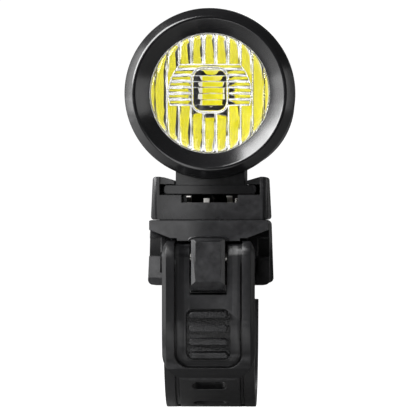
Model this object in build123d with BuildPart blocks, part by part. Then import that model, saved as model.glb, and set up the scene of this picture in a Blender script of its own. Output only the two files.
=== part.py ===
from build123d import *
from math import asin, cos, degrees, radians, sin, sqrt
import os

# A bike headlight on a handlebar bracket, in millimetres.
# +Z is up, the beam points along -Y, and the origin is the centre of the
# handlebar, whose axis runs along X.

# Values that many pieces share
overrun = 1.0
seat_gap = 0.05
running_gap = 0.05
moving_gap = 0.3

# Handlebar, saddle and strap
bar_r = 15.9
pad_t = 1.6
pad_width = 24.0
strap_t = 3.4
strap_width = 19.5
strap_tail_angle = 162.0
strap_leave_angle = -14.0
strap_groove_x = 7.0
strap_groove_width = 0.8
strap_groove_depth = 0.6
strap_hole_width = 7.4
strap_hole_height = 2.4
strap_hole_first_angle = 182.5
strap_hole_pitch_angle = 23.0
strap_hole_count = 6
strap_run = 17.0
strap_eye_r = 2.9
strap_eye_width = 11.0
strap_neck_z = 4.0
strap_pin_r = 1.25
strap_pin_length = 17.0
ear_t = 2.6
ear_r = 3.0

# Lamp body
neck_height = 3.45
tube_r = 16.5
tube_wall = 2.5
front_bay_wall = 1.9
thread_wall = 1.1
tube_front_y = -6.0
tube_rear_y = 84.0
thread_end_y = -1.0
bulkhead_front_y = 8.3
bulkhead_t = 2.5
wire_hole_r = 1.6
wire_hole_x = 6.0
wire_r = 0.6
fin_count = 6
fin_first_y = 12.0
fin_pitch = 2.6
fin_groove_width = 1.3
fin_groove_depth = 0.9
fin_half_angle = 62.0

# Bezel ring
bezel_overhang = 2.0
bezel_front_y = -15.0
bezel_lip_inset = 1.8
bezel_dish_width = 3.65
bezel_lip_width = 0.25
bezel_chamfer_length = 2.0
bezel_rear_y = -6.15
bezel_rear_chamfer = 1.2
bezel_ledge_front_y = -11.6
bezel_ledge_t = 0.8
bezel_spigot_wall = 0.6
bezel_spigot_end_y = -1.4

# Optic, its gasket and its holder
gasket_t = 0.6
gasket_width = 1.1
optic_flange_t = 1.4
optic_front_gap = 0.2
optic_front_y = -11.5
flute_pitch = 2.6
flute_height = 0.42
flute_count = 11
window_inset = 3.85
window_top = 6.2
window_bottom = 2.6
window_sink = 0.5
fine_pitch = 1.28
fine_height = 0.3
fine_count = 7
optic_cone_inset = 2.1
optic_cone_step = 3.2
optic_cone_mid_y = 0.2
optic_cone_back_r = 4.4
optic_back_y = 6.2
cavity_r = 2.9
cavity_depth = 6.4
cavity_dome_height = 1.1
holder_gap = 0.35
holder_wall = 0.9

# Lamp board and emitter
led_board_t = 1.5
led_board_gap = 0.4
led_base = 3.5
led_base_t = 0.7
led_dome_r = 1.35
led_screw_inset = 4.4
led_screw_r = 1.0
led_screw_head_r = 1.9
led_screw_head_t = 1.2
led_screw_length = 3.4

# Cell, its holder and contacts
cell_r = 9.1
cell_length = 65.0
cell_front_y = 14.0
cell_nub_r = 3.0
cell_nub_t = 1.2
holder_inner_gap = 0.3
holder_outer_gap = 0.2
holder_top = 3.0
holder_sleeve_t = 1.2
holder_rib_count = 8
contact_t = 0.4
contact_width = 6.0
contact_height = 9.0

# Driver board, button and light pipe
driver_z = 10.6
driver_t = 1.2
driver_width = 15.0
driver_front_y = 14.5
driver_rear_y = 74.0
button_y = 44.0
switch_size = 6.0
switch_t = 1.9
switch_stem_r = 1.4
switch_stem_t = 0.5
button_r = 4.6
button_proud = 0.8
button_height = 1.8
button_dish = 0.35
button_skirt_r = 5.1
button_skirt_t = 0.6
button_ring_wall = 1.4
button_ring_proud = 0.4
button_ring_height = 2.6
button_ring_lip = 0.6
pipe_r = 0.9
pipe_y = 53.0
pipe_length = 3.25

# Rear cap, charging board, socket and cover
cap_length = 4.0
cap_chamfer = 1.4
cap_spigot_length = 2.5
cap_spigot_wall = 1.8
seal_width = 1.0
seal_depth = 0.6
charge_board_t = 1.2
charge_board_side_gap = 0.55
charge_board_gap = 0.3
charge_screw_x = 8.6
charge_screw_r = 0.8
charge_screw_head_r = 1.5
charge_screw_head_t = 0.7
charge_boss_r = 2.0
socket_width = 9.0
socket_height = 3.2
socket_wall = 0.35
socket_length = 4.0
cover_width = 14.0
cover_height = 10.4
cover_t = 1.6
cover_corner_r = 1.6
cover_pull_width = 5.0
cover_pull_height = 1.2
cover_plug_width = 7.6
cover_plug_height = 2.2
cover_plug_length = 0.8
cover_pin_r = 0.45
cover_pin_z = 5.2
cover_pin_inset = 0.7
cover_barrel_r = 1.0
cover_barrel_width = 9.0
cover_pin_length = 13.0

# Rail under the lamp
rail_front_y = -10.5
rail_rear_y = 12.1
flange_width = 20.0
flange_t = 1.9
flange_corner_r = 0.7
flange_bottom_z = 27.25
neck_width = 15.0
neck_inset = 1.0
rail_screw_first_y = 1.5
rail_screw_pitch = 5.0
rail_screw_count = 2
rail_screw_r = 1.5
rail_screw_head_r = 2.35
rail_screw_head_t = 1.6
catch_notch_width = 9.0
catch_notch_depth = 1.0

# Turntable with the slot for the rail
turntable_front_y = -12.5
turntable_rear_y = 13.9
turntable_top_z = 31.0
turntable_bottom_z = 21.65
turntable_top_width = 24.7
seam_width = 25.7
slot_width = 21.8
slot_side_gap = 0.2
lip_gap = 0.2
lip_set_back = 2.5
lip_tip_drop = 0.9
stop_gap = 0.2
block_corner_r = 0.7
notch_width = 12.3
notch_floor_z = 25.1
swivel_y = -2.0
swivel_shaft_r = 2.0
swivel_head_r = 3.8
swivel_head_t = 1.6
swivel_hex_r = 1.6
swivel_hex_depth = 1.0
washer_r = 3.9
washer_t = 0.5
washer_seat_z = 23.3
nut_width = 7.0
nut_t = 2.2
nut_seat_z = 20.0
spring_t = 0.3
spring_width = 12.0
spring_length = 5.6
spring_tab_widths = (1.25, 0.5)
spring_tab_places = (-0.7, 5.75)
spring_tab_height = 1.25
spring_tab_length = 0.8
spring_finger_widths = (1.1, 1.2)
spring_finger_places = (-4.6, 4.2)
spring_finger_height = 1.75
spring_finger_slope = 2.6
spring_set_back = 0.9

# Release latch in the turntable
latch_width = 7.4
latch_pin_y = 5.2
latch_pin_z = 24.2
latch_pin_r = 0.8
latch_pin_length = 11.0
latch_nose_r = 1.3
latch_bottom_z = 23.0
latch_top_z = 25.4
latch_tail_y = 19.0
latch_tail_width = 11.0
latch_tail_length = 4.6
latch_tail_rise = 0.7
latch_tooth_y = 9.6
latch_tooth_length = 1.4
latch_tooth_gap = 0.15
latch_well_front_y = 3.6
latch_skin_t = 0.5
latch_skin_rear_y = 9.5
latch_spring_t = 0.25

# Clamp base with its nose and stud
base_top_z = 21.6
base_bottom_z = 7.6
base_bottom_width = 26.4
base_bottom_corner_r = 1.1
base_top_half = 12.5
base_foot_half = 17.3
base_foot_height = 1.6
roof_overhang = 1.5
roof_top_z = 21.6
roof_edge_z = 21.45
roof_under_z = 17.7
roof_under_width = 16.4
roof_middle_z = 17.1
roof_middle_width = 13.6
shoulder_z = 19.5
shoulder_width = 25.6
stud_width = 7.3
stud_proud = 3.5
stud_top_z = 17.4
stud_flat_bottom_z = 8.4
stud_bottom_z = 6.1
stud_chamfer = 0.5
stud_side_chamfer = 1.0
cheek_top_z = 13.8
cheek_gap = 0.5

# Lever that pulls the strap tight
lever_pin_inset = 0.8
lever_pin_z = 13.6
lever_pin_r = 1.2
lever_pin_length = 18.4
lever_barrel_r = 3.0
lever_back_gap = 0.4
lever_t = 2.2
lever_width = 20.0
ridge_width = 2.7
ridge_rise = 0.6
ridge_groove = 0.4
lever_end_z = -13.0
lever_end_corner_r = 5.8
lever_edge_chamfer = 0.9
lever_flank_sweep = 60.0
lever_opening_r = 8.6
lever_side_gap = 0.35
pad_recess_width = 9.5
pad_recess_depth = 0.7
pad_recess_top_z = 2.5
pad_recess_bottom_z = -8.4
pad_recess_corner_r = 1.5
rib_width = 8.2
rib_height = 1.2
rib_pitch = 2.77
rib_count = 4
rib_rise = 0.6
rib_first_z = 1.1
peg_width = 6.6
peg_root_half = 0.9
peg_tip_top = 0.2
peg_reach = 2.6

# Sizes that follow from the ones above
flange_top_z = flange_bottom_z + flange_t
lamp_z = flange_top_z + neck_height + tube_r
thread_r = tube_r - thread_wall
front_bay_r = tube_r - front_bay_wall
cell_bay_r = tube_r - tube_wall
bezel_r = tube_r + bezel_overhang
bezel_lip_r = bezel_r - bezel_lip_inset
bezel_opening_r = bezel_lip_r - bezel_dish_width
optic_front_r = bezel_opening_r - optic_front_gap
window_r = optic_front_r - window_inset
led_board_r = front_bay_r - led_board_gap
led_screw_x = front_bay_r - led_screw_inset
button_top = tube_r + button_proud
button_bottom = button_top - button_height
button_ring_top = tube_r + button_ring_proud
button_ring_bottom = button_ring_top - button_ring_height
pipe_top = tube_r - seat_gap
pipe_bottom = pipe_top - pipe_length
charge_board_r = cell_bay_r - seat_gap - cap_spigot_wall - charge_board_side_gap
lamp_axis = Axis((0, 0, lamp_z), (0, 1, 0))
bulkhead_rear_y = bulkhead_front_y + bulkhead_t
bezel_ledge_back_y = bezel_ledge_front_y + bezel_ledge_t
gasket_back_y = bezel_ledge_back_y + gasket_t
optic_flange_back_y = gasket_back_y + optic_flange_t
optic_flange_r = thread_r - seat_gap - bezel_spigot_wall - seat_gap
optic_cone_front_r = optic_flange_r - optic_cone_inset
optic_cone_mid_r = optic_cone_front_r - optic_cone_step
led_board_front_y = bulkhead_front_y - led_board_t
cell_rear_y = cell_front_y + cell_length
cap_front_y = tube_rear_y
cap_rear_y = tube_rear_y + cap_length
cap_spigot_r = cell_bay_r - seat_gap
charge_board_rear_y = tube_rear_y - cap_spigot_length - charge_board_gap
charge_board_front_y = charge_board_rear_y - charge_board_t
cover_front_y = cap_rear_y - cover_t
cover_pin_y = cap_rear_y - cover_pin_inset
slot_floor_z = flange_bottom_z - slot_side_gap
lip_under_z = flange_top_z + lip_gap
saddle_r = bar_r + pad_t
strap_r = bar_r + strap_t
strap_pin_y = bar_r * cos(radians(strap_leave_angle)) - strap_run * sin(radians(strap_leave_angle)) + (
    strap_t / 2 * cos(radians(strap_leave_angle))
)
strap_pin_z = bar_r * sin(radians(strap_leave_angle)) + strap_run * cos(radians(strap_leave_angle)) + (
    strap_t / 2 * sin(radians(strap_leave_angle))
)
lever_back_r = strap_r + lever_back_gap
lever_front_r = lever_back_r + lever_t
lever_pin_y = lever_pin_inset - lever_back_r
roof_front_y = lever_pin_y - roof_overhang
stud_front_y = roof_front_y - stud_proud
lever_opening_width = stud_width + 2 * lever_side_gap
latch_tooth_top_z = flange_bottom_z - latch_tooth_gap
pieces = {}


def face_plane(y):
    """The plane across the lamp's axis at depth y, facing the front, with X and Z as its own axes."""
    return Plane(origin=(0, y, lamp_z), x_dir=(1, 0, 0), z_dir=(0, -1, 0))


def bar_point(r, angle):
    """The point in the side view at this radius and angle about the handlebar."""
    return (r * cos(radians(angle)), r * sin(radians(angle)))


def turn(outline, mode=Mode.ADD):
    """Turn an outline of (y, radius) points about the lamp's axis."""
    with BuildSketch(Plane.YZ) as section:
        with BuildLine():
            Polyline(*[(y, lamp_z + r) for y, r in outline], close=True)
        make_face()
    revolve(section.sketch, axis=lamp_axis, mode=mode)


def ring(inner_r, outer_r, front_y, rear_y, mode=Mode.ADD):
    """A ring about the lamp's axis between two depths."""
    turn([(front_y, inner_r), (rear_y, inner_r), (rear_y, outer_r), (front_y, outer_r)], mode)


def disc(r, front_y, rear_y, mode=Mode.ADD):
    """A round disc across the lamp's axis between two depths."""
    with BuildSketch(face_plane(rear_y)) as section:
        Circle(r)
    extrude(section.sketch, amount=rear_y - front_y, mode=mode)


def block(low, high, mode=Mode.ADD):
    """A straight block between its low corner and its high corner."""
    with BuildSketch(Plane.XY.offset(low[2])) as section:
        with Locations(((low[0] + high[0]) / 2, (low[1] + high[1]) / 2)):
            Rectangle(high[0] - low[0], high[1] - low[1])
    extrude(section.sketch, amount=high[2] - low[2], mode=mode)


def side_plate(outline, low_x, high_x, mode=Mode.ADD):
    """A side outline of (y, z) points, drawn out between two places along X."""
    with BuildSketch(Plane.YZ.offset(low_x)) as section:
        with BuildLine():
            Polyline(*outline, close=True)
        make_face()
    extrude(section.sketch, amount=high_x - low_x, mode=mode)


def cross_bar(r, y, z, low_x, high_x, mode=Mode.ADD):
    """A round bar or bore along X."""
    with BuildSketch(Plane.YZ.offset(low_x)) as section:
        with Locations((y, z)):
            Circle(r)
    extrude(section.sketch, amount=high_x - low_x, mode=mode)


def post(r, x, y, low_z, high_z, mode=Mode.ADD):
    """A round post or bore along Z."""
    with BuildSketch(Plane.XY.offset(low_z)) as section:
        with Locations((x, y)):
            Circle(r)
    extrude(section.sketch, amount=high_z - low_z, mode=mode)


def keep(piece, label):
    """Label a finished piece and list it for writing."""
    piece.part.label = label
    pieces[label] = piece


# Bezel ring: the dished front ring that screws into the tube and holds the optic
with BuildPart() as bezel_ring:
    turn([
        (bezel_front_y, bezel_lip_r - bezel_lip_width),
        (bezel_front_y, bezel_lip_r),
        (bezel_front_y + bezel_chamfer_length, bezel_r),
        (bezel_rear_y - bezel_rear_chamfer, bezel_r),
        (bezel_rear_y, bezel_r - bezel_rear_chamfer),
        (bezel_rear_y, thread_r - seat_gap),
        (bezel_spigot_end_y, thread_r - seat_gap),
        (bezel_spigot_end_y, thread_r - seat_gap - bezel_spigot_wall),
        (bezel_ledge_back_y, thread_r - seat_gap - bezel_spigot_wall),
        (bezel_ledge_back_y, bezel_opening_r),
        (bezel_ledge_front_y, bezel_opening_r),
    ])
keep(bezel_ring, "bezel_ring")

# Gasket between the bezel's ledge and the optic's flange
with BuildPart() as optic_gasket:
    ring(optic_flange_r - gasket_width, optic_flange_r, bezel_ledge_back_y, gasket_back_y)
keep(optic_gasket, "optic_gasket")


def flute_outline(pitch, height, count, base):
    """A row of shallow round flutes along the first axis, on a straight back."""
    start = -pitch * count / 2
    points = [start + pitch * step for step in range(count + 1)]
    for left, right in zip(points, points[1:]):
        ThreePointArc((left, base), ((left + right) / 2, base - height), (right, base))
    back = base + flute_pitch
    Polyline((points[-1], base), (points[-1], back), (points[0], back), (points[0], base))


# Front optic: upright flutes in front, a window of finer level flutes, and a cone behind
with BuildPart() as front_optic:
    with BuildSketch(Plane.XY.offset(lamp_z - optic_front_r)):
        with BuildLine():
            flute_outline(flute_pitch, flute_height, flute_count, optic_front_y)
        make_face()
    extrude(amount=2 * optic_front_r)
    disc(optic_front_r, optic_front_y - flute_height, gasket_back_y, Mode.INTERSECT)
    with BuildSketch(face_plane(optic_front_y + window_sink)):
        Circle(window_r)
        with BuildSketch(mode=Mode.INTERSECT):
            with Locations((0, (window_top - window_bottom) / 2)):
                Rectangle(2 * window_r, window_top + window_bottom)
    extrude(amount=window_sink + flute_height + overrun, mode=Mode.SUBTRACT)
    for step in range(fine_count):
        fine_z = lamp_z - window_bottom + fine_pitch * (step + 1 / 2)
        half_width = min(sqrt(window_r**2 - (fine_z - lamp_z)**2), window_r) - fine_pitch / 2
        with BuildSketch(Plane.YZ.offset(-half_width)):
            with BuildLine():
                low_point = (optic_front_y + window_sink, fine_z - fine_pitch / 2)
                high_point = (optic_front_y + window_sink, fine_z + fine_pitch / 2)
                ThreePointArc(low_point, (optic_front_y + window_sink - fine_height, fine_z), high_point)
                Polyline(high_point, (optic_front_y + 2 * window_sink, fine_z), low_point)
            make_face()
        extrude(amount=2 * half_width)
    disc(optic_flange_r, gasket_back_y, optic_flange_back_y)
    turn([
        (optic_flange_back_y, 0),
        (optic_flange_back_y, optic_cone_front_r),
        (optic_cone_mid_y, optic_cone_mid_r),
        (optic_back_y, optic_cone_back_r),
        (optic_back_y, cavity_r),
        (optic_back_y - cavity_depth, cavity_r),
        (optic_back_y - cavity_depth + cavity_dome_height, 0),
    ])
keep(front_optic, "front_optic")

# Optic holder: the dark cup that presses the optic forward
with BuildPart() as optic_holder:
    turn([
        (optic_flange_back_y, optic_cone_front_r + holder_gap),
        (optic_flange_back_y, optic_flange_r),
        (bezel_spigot_end_y + holder_gap, optic_flange_r),
        (bezel_spigot_end_y + holder_gap, front_bay_r - holder_gap),
        (led_board_front_y, front_bay_r - holder_gap),
        (led_board_front_y, led_screw_x + led_screw_head_r + holder_wall / 2),
        (optic_back_y - holder_wall, led_screw_x + led_screw_head_r + holder_wall / 2),
        (optic_back_y - holder_wall, optic_cone_back_r + holder_wall),
        (optic_cone_mid_y, optic_cone_mid_r + holder_gap),
    ])
keep(optic_holder, "optic_holder")

# Emitter: a square base and a yellow dome, on the board in the optic's cavity
with BuildPart() as led_emitter:
    block(
        (-led_base / 2, led_board_front_y - led_base_t, lamp_z - led_base / 2),
        (led_base / 2, led_board_front_y, lamp_z + led_base / 2),
    )
    with BuildSketch(Plane.YZ) as dome_section:
        with BuildLine():
            dome_y = led_board_front_y - led_base_t
            CenterArc((dome_y, lamp_z), led_dome_r, 90, 90)
            Polyline((dome_y - led_dome_r, lamp_z), (dome_y, lamp_z), (dome_y, lamp_z + led_dome_r))
        make_face()
    revolve(axis=lamp_axis)
keep(led_emitter, "led_emitter")

# Lamp board, screwed to the tube's bulkhead so that its heat leaves through the tube
with BuildPart() as led_board:
    disc(led_board_r, led_board_front_y, bulkhead_front_y)
    with Locations(face_plane(led_board_front_y)):
        with Locations((-led_screw_x, 0), (led_screw_x, 0)):
            Hole(led_screw_r)
keep(led_board, "led_board")

with BuildPart() as led_board_screws:
    for side in (-1, 1):
        with BuildSketch(face_plane(led_board_front_y)):
            with Locations((side * led_screw_x, 0)):
                Circle(led_screw_head_r)
        extrude(amount=led_screw_head_t)
        with BuildSketch(face_plane(led_board_front_y)):
            with Locations((side * led_screw_x, 0)):
                Circle(led_screw_r)
        extrude(amount=-led_screw_length)
keep(led_board_screws, "led_board_screws")

# Body tube: front bay, bulkhead, long bay for the cell, cooling grooves, button and rail seats
with BuildPart() as body_tube:
    turn([
        (tube_front_y, thread_r),
        (tube_front_y, tube_r),
        (tube_rear_y, tube_r),
        (tube_rear_y, cell_bay_r),
        (bulkhead_rear_y, cell_bay_r),
        (bulkhead_rear_y, 0),
        (bulkhead_front_y, 0),
        (bulkhead_front_y, front_bay_r),
        (thread_end_y, front_bay_r),
        (thread_end_y, thread_r),
    ])
    for step in range(fin_count):
        groove_y = fin_first_y + fin_pitch * step
        for first_angle in (-fin_half_angle, 180 - fin_half_angle):
            with BuildSketch(face_plane(groove_y + fin_groove_width)):
                with BuildLine():
                    outer = CenterArc((0, 0), tube_r + overrun, first_angle, 2 * fin_half_angle)
                    inner = CenterArc((0, 0), tube_r - fin_groove_depth, first_angle, 2 * fin_half_angle)
                    Line(outer @ 0, inner @ 0)
                    Line(outer @ 1, inner @ 1)
                make_face()
            extrude(amount=fin_groove_width, mode=Mode.SUBTRACT)
    ring_bore_r = button_r + moving_gap + button_ring_wall
    ring_bottom_z = lamp_z + button_ring_bottom
    tube_over_z = lamp_z + tube_r + overrun
    tube_under_z = lamp_z - tube_r - overrun
    post(ring_bore_r, 0, button_y, ring_bottom_z - overrun, tube_over_z, Mode.SUBTRACT)
    post(button_skirt_r + moving_gap, 0, button_y, lamp_z, lamp_z + tube_r, Mode.SUBTRACT)
    post(pipe_r, 0, pipe_y, lamp_z, tube_over_z, Mode.SUBTRACT)
    for step in range(rail_screw_count):
        screw_y = rail_screw_first_y + rail_screw_pitch * step
        post(rail_screw_r, 0, screw_y, tube_under_z, lamp_z - front_bay_r + overrun, Mode.SUBTRACT)
    for side in (-1, 1):
        with BuildSketch(face_plane(bulkhead_rear_y + overrun)):
            with Locations((side * led_screw_x, 0)):
                Circle(led_screw_r)
            with Locations((side * wire_hole_x, driver_z)):
                Circle(wire_hole_r)
        extrude(amount=bulkhead_t + 2 * overrun, mode=Mode.SUBTRACT)
    rear_edges = body_tube.edges().filter_by(GeomType.CIRCLE).group_by(Axis.Y)[-1]
    chamfer(rear_edges.sort_by(SortBy.RADIUS)[-1], cap_chamfer / 2)
keep(body_tube, "body_tube")

# Cell with its raised front terminal
with BuildPart() as battery_cell:
    ring(0, cell_r, cell_front_y + cell_nub_t, cell_rear_y)
    disc(cell_nub_r, cell_front_y, cell_front_y + cell_nub_t)
keep(battery_cell, "battery_cell")

# Cell holder: a cradle that wraps the cell's lower part, with a wall at each end
with BuildPart() as cell_holder:
    holder_r = cell_bay_r - holder_outer_gap
    with BuildSketch(face_plane(cell_rear_y)):
        Circle(cell_r + holder_inner_gap + holder_sleeve_t)
        with PolarLocations(0, holder_rib_count, -90):
            with Locations(((cell_r + holder_r) / 2, 0)):
                Rectangle(holder_r - cell_r, holder_sleeve_t)
        Circle(holder_r, mode=Mode.INTERSECT)
        Circle(cell_r + holder_inner_gap, mode=Mode.SUBTRACT)
        with Locations((0, holder_top + holder_r)):
            Rectangle(2 * holder_r, 2 * holder_r, mode=Mode.SUBTRACT)
    extrude(amount=cell_length)
keep(cell_holder, "cell_holder")

# Contacts: a strip in front of the cell and one behind it
with BuildPart() as battery_contacts:
    for contact_y in (cell_front_y - contact_t, cell_rear_y):
        block(
            (-contact_width / 2, contact_y, lamp_z - contact_height / 2),
            (contact_width / 2, contact_y + contact_t, lamp_z + contact_height / 2),
        )
keep(battery_contacts, "battery_contacts")

# Driver board above the cell, the switch on it, and the leads to the lamp board
with BuildPart() as driver_board:
    block(
        (-driver_width / 2, driver_front_y, lamp_z + driver_z),
        (driver_width / 2, driver_rear_y, lamp_z + driver_z + driver_t),
    )
keep(driver_board, "driver_board")

with BuildPart() as button_switch:
    switch_z = lamp_z + driver_z + driver_t
    block(
        (-switch_size / 2, button_y - switch_size / 2, switch_z),
        (switch_size / 2, button_y + switch_size / 2, switch_z + switch_t),
    )
    post(switch_stem_r, 0, button_y, switch_z + switch_t, switch_z + switch_t + switch_stem_t)
keep(button_switch, "button_switch")

with BuildPart() as lamp_leads:
    for side in (-1, 1):
        with BuildSketch(face_plane(driver_front_y)):
            with Locations((side * wire_hole_x, driver_z + driver_t / 2)):
                Circle(wire_r)
        extrude(amount=driver_front_y - bulkhead_front_y)
keep(lamp_leads, "lamp_leads")

# Button ring, power button and the clear pipe of its indicator
with BuildPart() as button_ring:
    post(ring_bore_r - seat_gap, 0, button_y, ring_bottom_z, lamp_z + button_ring_top)
    ring_top_edges = button_ring.edges().filter_by(GeomType.CIRCLE).group_by(Axis.Z)[-1]
    chamfer(ring_top_edges, button_ring_lip)
    post(button_r + moving_gap, 0, button_y, lamp_z, lamp_z + button_top, Mode.SUBTRACT)
    skirt_room = button_bottom + button_skirt_t + moving_gap
    post(button_skirt_r + moving_gap, 0, button_y, lamp_z, lamp_z + skirt_room, Mode.SUBTRACT)
keep(button_ring, "button_ring")

with BuildPart() as power_button:
    skirt_z = lamp_z + button_bottom
    crown_z = lamp_z + button_top
    post(button_r, 0, button_y, skirt_z, crown_z)
    fillet(power_button.edges().filter_by(GeomType.CIRCLE).group_by(Axis.Z)[-1], button_ring_lip)
    post(button_skirt_r, 0, button_y, skirt_z, skirt_z + button_skirt_t)
    post(button_r / 2, 0, button_y, crown_z - button_dish, crown_z + overrun, Mode.SUBTRACT)
keep(power_button, "power_button")

with BuildPart() as light_pipe:
    post(pipe_r - seat_gap, 0, pipe_y, lamp_z + pipe_bottom, lamp_z + pipe_top)
keep(light_pipe, "light_pipe")

# Charging board, its screws and the charging socket
with BuildPart() as charge_board:
    disc(charge_board_r, charge_board_front_y, charge_board_rear_y)
    with Locations(face_plane(charge_board_front_y)):
        with Locations((-charge_screw_x, 0), (charge_screw_x, 0)):
            Hole(charge_screw_r)
keep(charge_board, "charge_board")

with BuildPart() as charge_board_screws:
    for side in (-1, 1):
        with BuildSketch(face_plane(charge_board_front_y)):
            with Locations((side * charge_screw_x, 0)):
                Circle(charge_screw_head_r)
        extrude(amount=charge_screw_head_t)
        with BuildSketch(face_plane(charge_board_front_y)):
            with Locations((side * charge_screw_x, 0)):
                Circle(charge_screw_r)
        extrude(amount=-(charge_board_t + charge_board_gap + cap_spigot_length))
keep(charge_board_screws, "charge_board_screws")

with BuildPart() as charging_socket:
    with BuildSketch(face_plane(charge_board_rear_y)):
        SlotOverall(socket_width, socket_height)
    extrude(amount=-socket_length)
    with BuildSketch(face_plane(charge_board_rear_y + socket_wall)):
        SlotOverall(socket_width - 2 * socket_wall, socket_height - 2 * socket_wall)
        SlotOverall(socket_width / 2 + socket_height / 2, socket_height / 4, mode=Mode.SUBTRACT)
    extrude(amount=-socket_length, mode=Mode.SUBTRACT)
keep(charging_socket, "charging_socket")

# Rear cap with its spigot, seal groove, port and the bed of the cover
with BuildPart() as rear_cap:
    disc(tube_r, cap_front_y, cap_rear_y)
    chamfer(rear_cap.edges().filter_by(GeomType.CIRCLE).group_by(Axis.Y)[-1], cap_chamfer)
    ring(cap_spigot_r - cap_spigot_wall, cap_spigot_r, cap_front_y - cap_spigot_length, cap_front_y)
    seal_front_y = cap_front_y - cap_spigot_length / 2 - seal_width / 2
    seal_rear_y = seal_front_y + seal_width
    ring(cap_spigot_r - seal_depth, cap_spigot_r + overrun, seal_front_y, seal_rear_y, Mode.SUBTRACT)
    for side in (-1, 1):
        with BuildSketch(face_plane(cap_front_y)):
            with Locations((side * charge_screw_x, 0)):
                Circle(charge_boss_r)
        extrude(amount=cap_spigot_length + charge_board_gap)
        with BuildSketch(face_plane(cap_front_y)):
            with Locations((side * charge_screw_x, 0)):
                Circle(charge_screw_r)
        extrude(amount=cap_spigot_length + charge_board_gap, mode=Mode.SUBTRACT)
    with BuildSketch(face_plane(cap_rear_y)):
        SlotOverall(socket_width + 2 * moving_gap, socket_height + 2 * moving_gap)
    extrude(amount=cap_length + overrun, mode=Mode.SUBTRACT)
    bed_width = cover_width + 2 * moving_gap
    bed_top = cover_pin_z + cover_barrel_r + moving_gap
    bed_bottom = cover_pin_z - cover_height - moving_gap
    with BuildSketch(face_plane(cap_rear_y)):
        with Locations((0, (bed_top + bed_bottom) / 2)):
            RectangleRounded(bed_width, bed_top - bed_bottom, cover_corner_r)
    extrude(amount=cover_t + moving_gap, mode=Mode.SUBTRACT)
    ear_width = (bed_width - cover_barrel_width) / 2 - moving_gap
    for side in (-1, 1):
        ear_x = side * (bed_width / 2 - ear_width / 2)
        with BuildSketch(face_plane(cap_rear_y)):
            with Locations((ear_x, cover_pin_z)):
                Rectangle(ear_width, 2 * cover_barrel_r)
        extrude(amount=cover_t + moving_gap)
    hinge_z = lamp_z + cover_pin_z
    hinge_half = cover_pin_length / 2
    cross_bar(cover_pin_r, cover_pin_y, hinge_z, -hinge_half, hinge_half, Mode.SUBTRACT)
keep(rear_cap, "rear_cap")

with BuildPart() as rear_cap_seal:
    ring(cap_spigot_r - seal_depth, cell_bay_r, seal_front_y + seat_gap, seal_rear_y - seat_gap)
keep(rear_cap_seal, "rear_cap_seal")

with BuildPart() as port_cover_pin:
    cross_bar(cover_pin_r, cover_pin_y, hinge_z, -hinge_half, hinge_half)
keep(port_cover_pin, "port_cover_pin")

# Rubber cover of the port, on its pin, with a plug for the socket and a pull lip
with BuildPart() as port_cover:
    flap_top = cover_pin_z - cover_barrel_r - moving_gap
    flap_bottom = cover_pin_z - cover_height
    with BuildSketch(face_plane(cap_rear_y)):
        with Locations((0, (flap_top + flap_bottom) / 2)):
            RectangleRounded(cover_width, flap_top - flap_bottom, cover_corner_r)
    extrude(amount=cover_t)
    with BuildSketch(face_plane(cover_front_y)):
        SlotOverall(cover_plug_width, cover_plug_height)
    extrude(amount=cover_plug_length)
    with BuildSketch(face_plane(cap_rear_y)):
        with Locations((0, flap_bottom + cover_pull_height)):
            Rectangle(cover_pull_width, cover_pull_height)
    extrude(amount=-cover_pull_height)
    barrel_half = cover_barrel_width / 2
    cross_bar(cover_barrel_r, cover_pin_y, hinge_z, -barrel_half, barrel_half)
    block(
        (-barrel_half, cover_pin_y - cover_barrel_r / 2, lamp_z + flap_top - cover_barrel_r),
        (barrel_half, cover_pin_y + cover_barrel_r / 2, hinge_z),
    )
    pin_bore_r = cover_pin_r + running_gap
    cross_bar(pin_bore_r, cover_pin_y, hinge_z, -cover_width / 2, cover_width / 2, Mode.SUBTRACT)
keep(port_cover, "port_cover")

# Rail under the lamp: a wide flange on a neck that follows the tube
with BuildPart() as mount_rail:
    with BuildSketch(Plane.XZ.offset(-rail_rear_y)):
        with Locations((0, (flange_bottom_z + flange_top_z) / 2)):
            RectangleRounded(flange_width, flange_t, flange_corner_r)
    extrude(amount=rail_rear_y - rail_front_y)
    block(
        (-neck_width / 2, rail_front_y + neck_inset, flange_top_z - flange_t / 2),
        (neck_width / 2, rail_rear_y, lamp_z - tube_r / 2),
    )
    disc(tube_r + seat_gap, rail_front_y, rail_rear_y, Mode.SUBTRACT)
    disc(bezel_r + seat_gap, rail_front_y, bezel_rear_y + seat_gap, Mode.SUBTRACT)
    block(
        (-catch_notch_width / 2, latch_tooth_y - moving_gap, flange_bottom_z),
        (
            catch_notch_width / 2,
            latch_tooth_y + latch_tooth_length + moving_gap,
            flange_bottom_z + catch_notch_depth,
        ),
        Mode.SUBTRACT,
    )
    for step in range(rail_screw_count):
        screw_y = rail_screw_first_y + rail_screw_pitch * step
        screw_head_z = flange_bottom_z + rail_screw_head_t
        post(rail_screw_r, 0, screw_y, flange_bottom_z, lamp_z, Mode.SUBTRACT)
        post(rail_screw_head_r, 0, screw_y, flange_bottom_z, screw_head_z, Mode.SUBTRACT)
keep(mount_rail, "mount_rail")

with BuildPart() as rail_screws:
    for step in range(rail_screw_count):
        screw_y = rail_screw_first_y + rail_screw_pitch * step
        screw_tip_z = lamp_z - front_bay_r - seat_gap - rail_screw_r / 10
        post(rail_screw_r, 0, screw_y, screw_head_z, screw_tip_z)
        post(rail_screw_head_r - seat_gap, 0, screw_y, flange_bottom_z + seat_gap, screw_head_z)
keep(rail_screws, "rail_screws")


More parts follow.
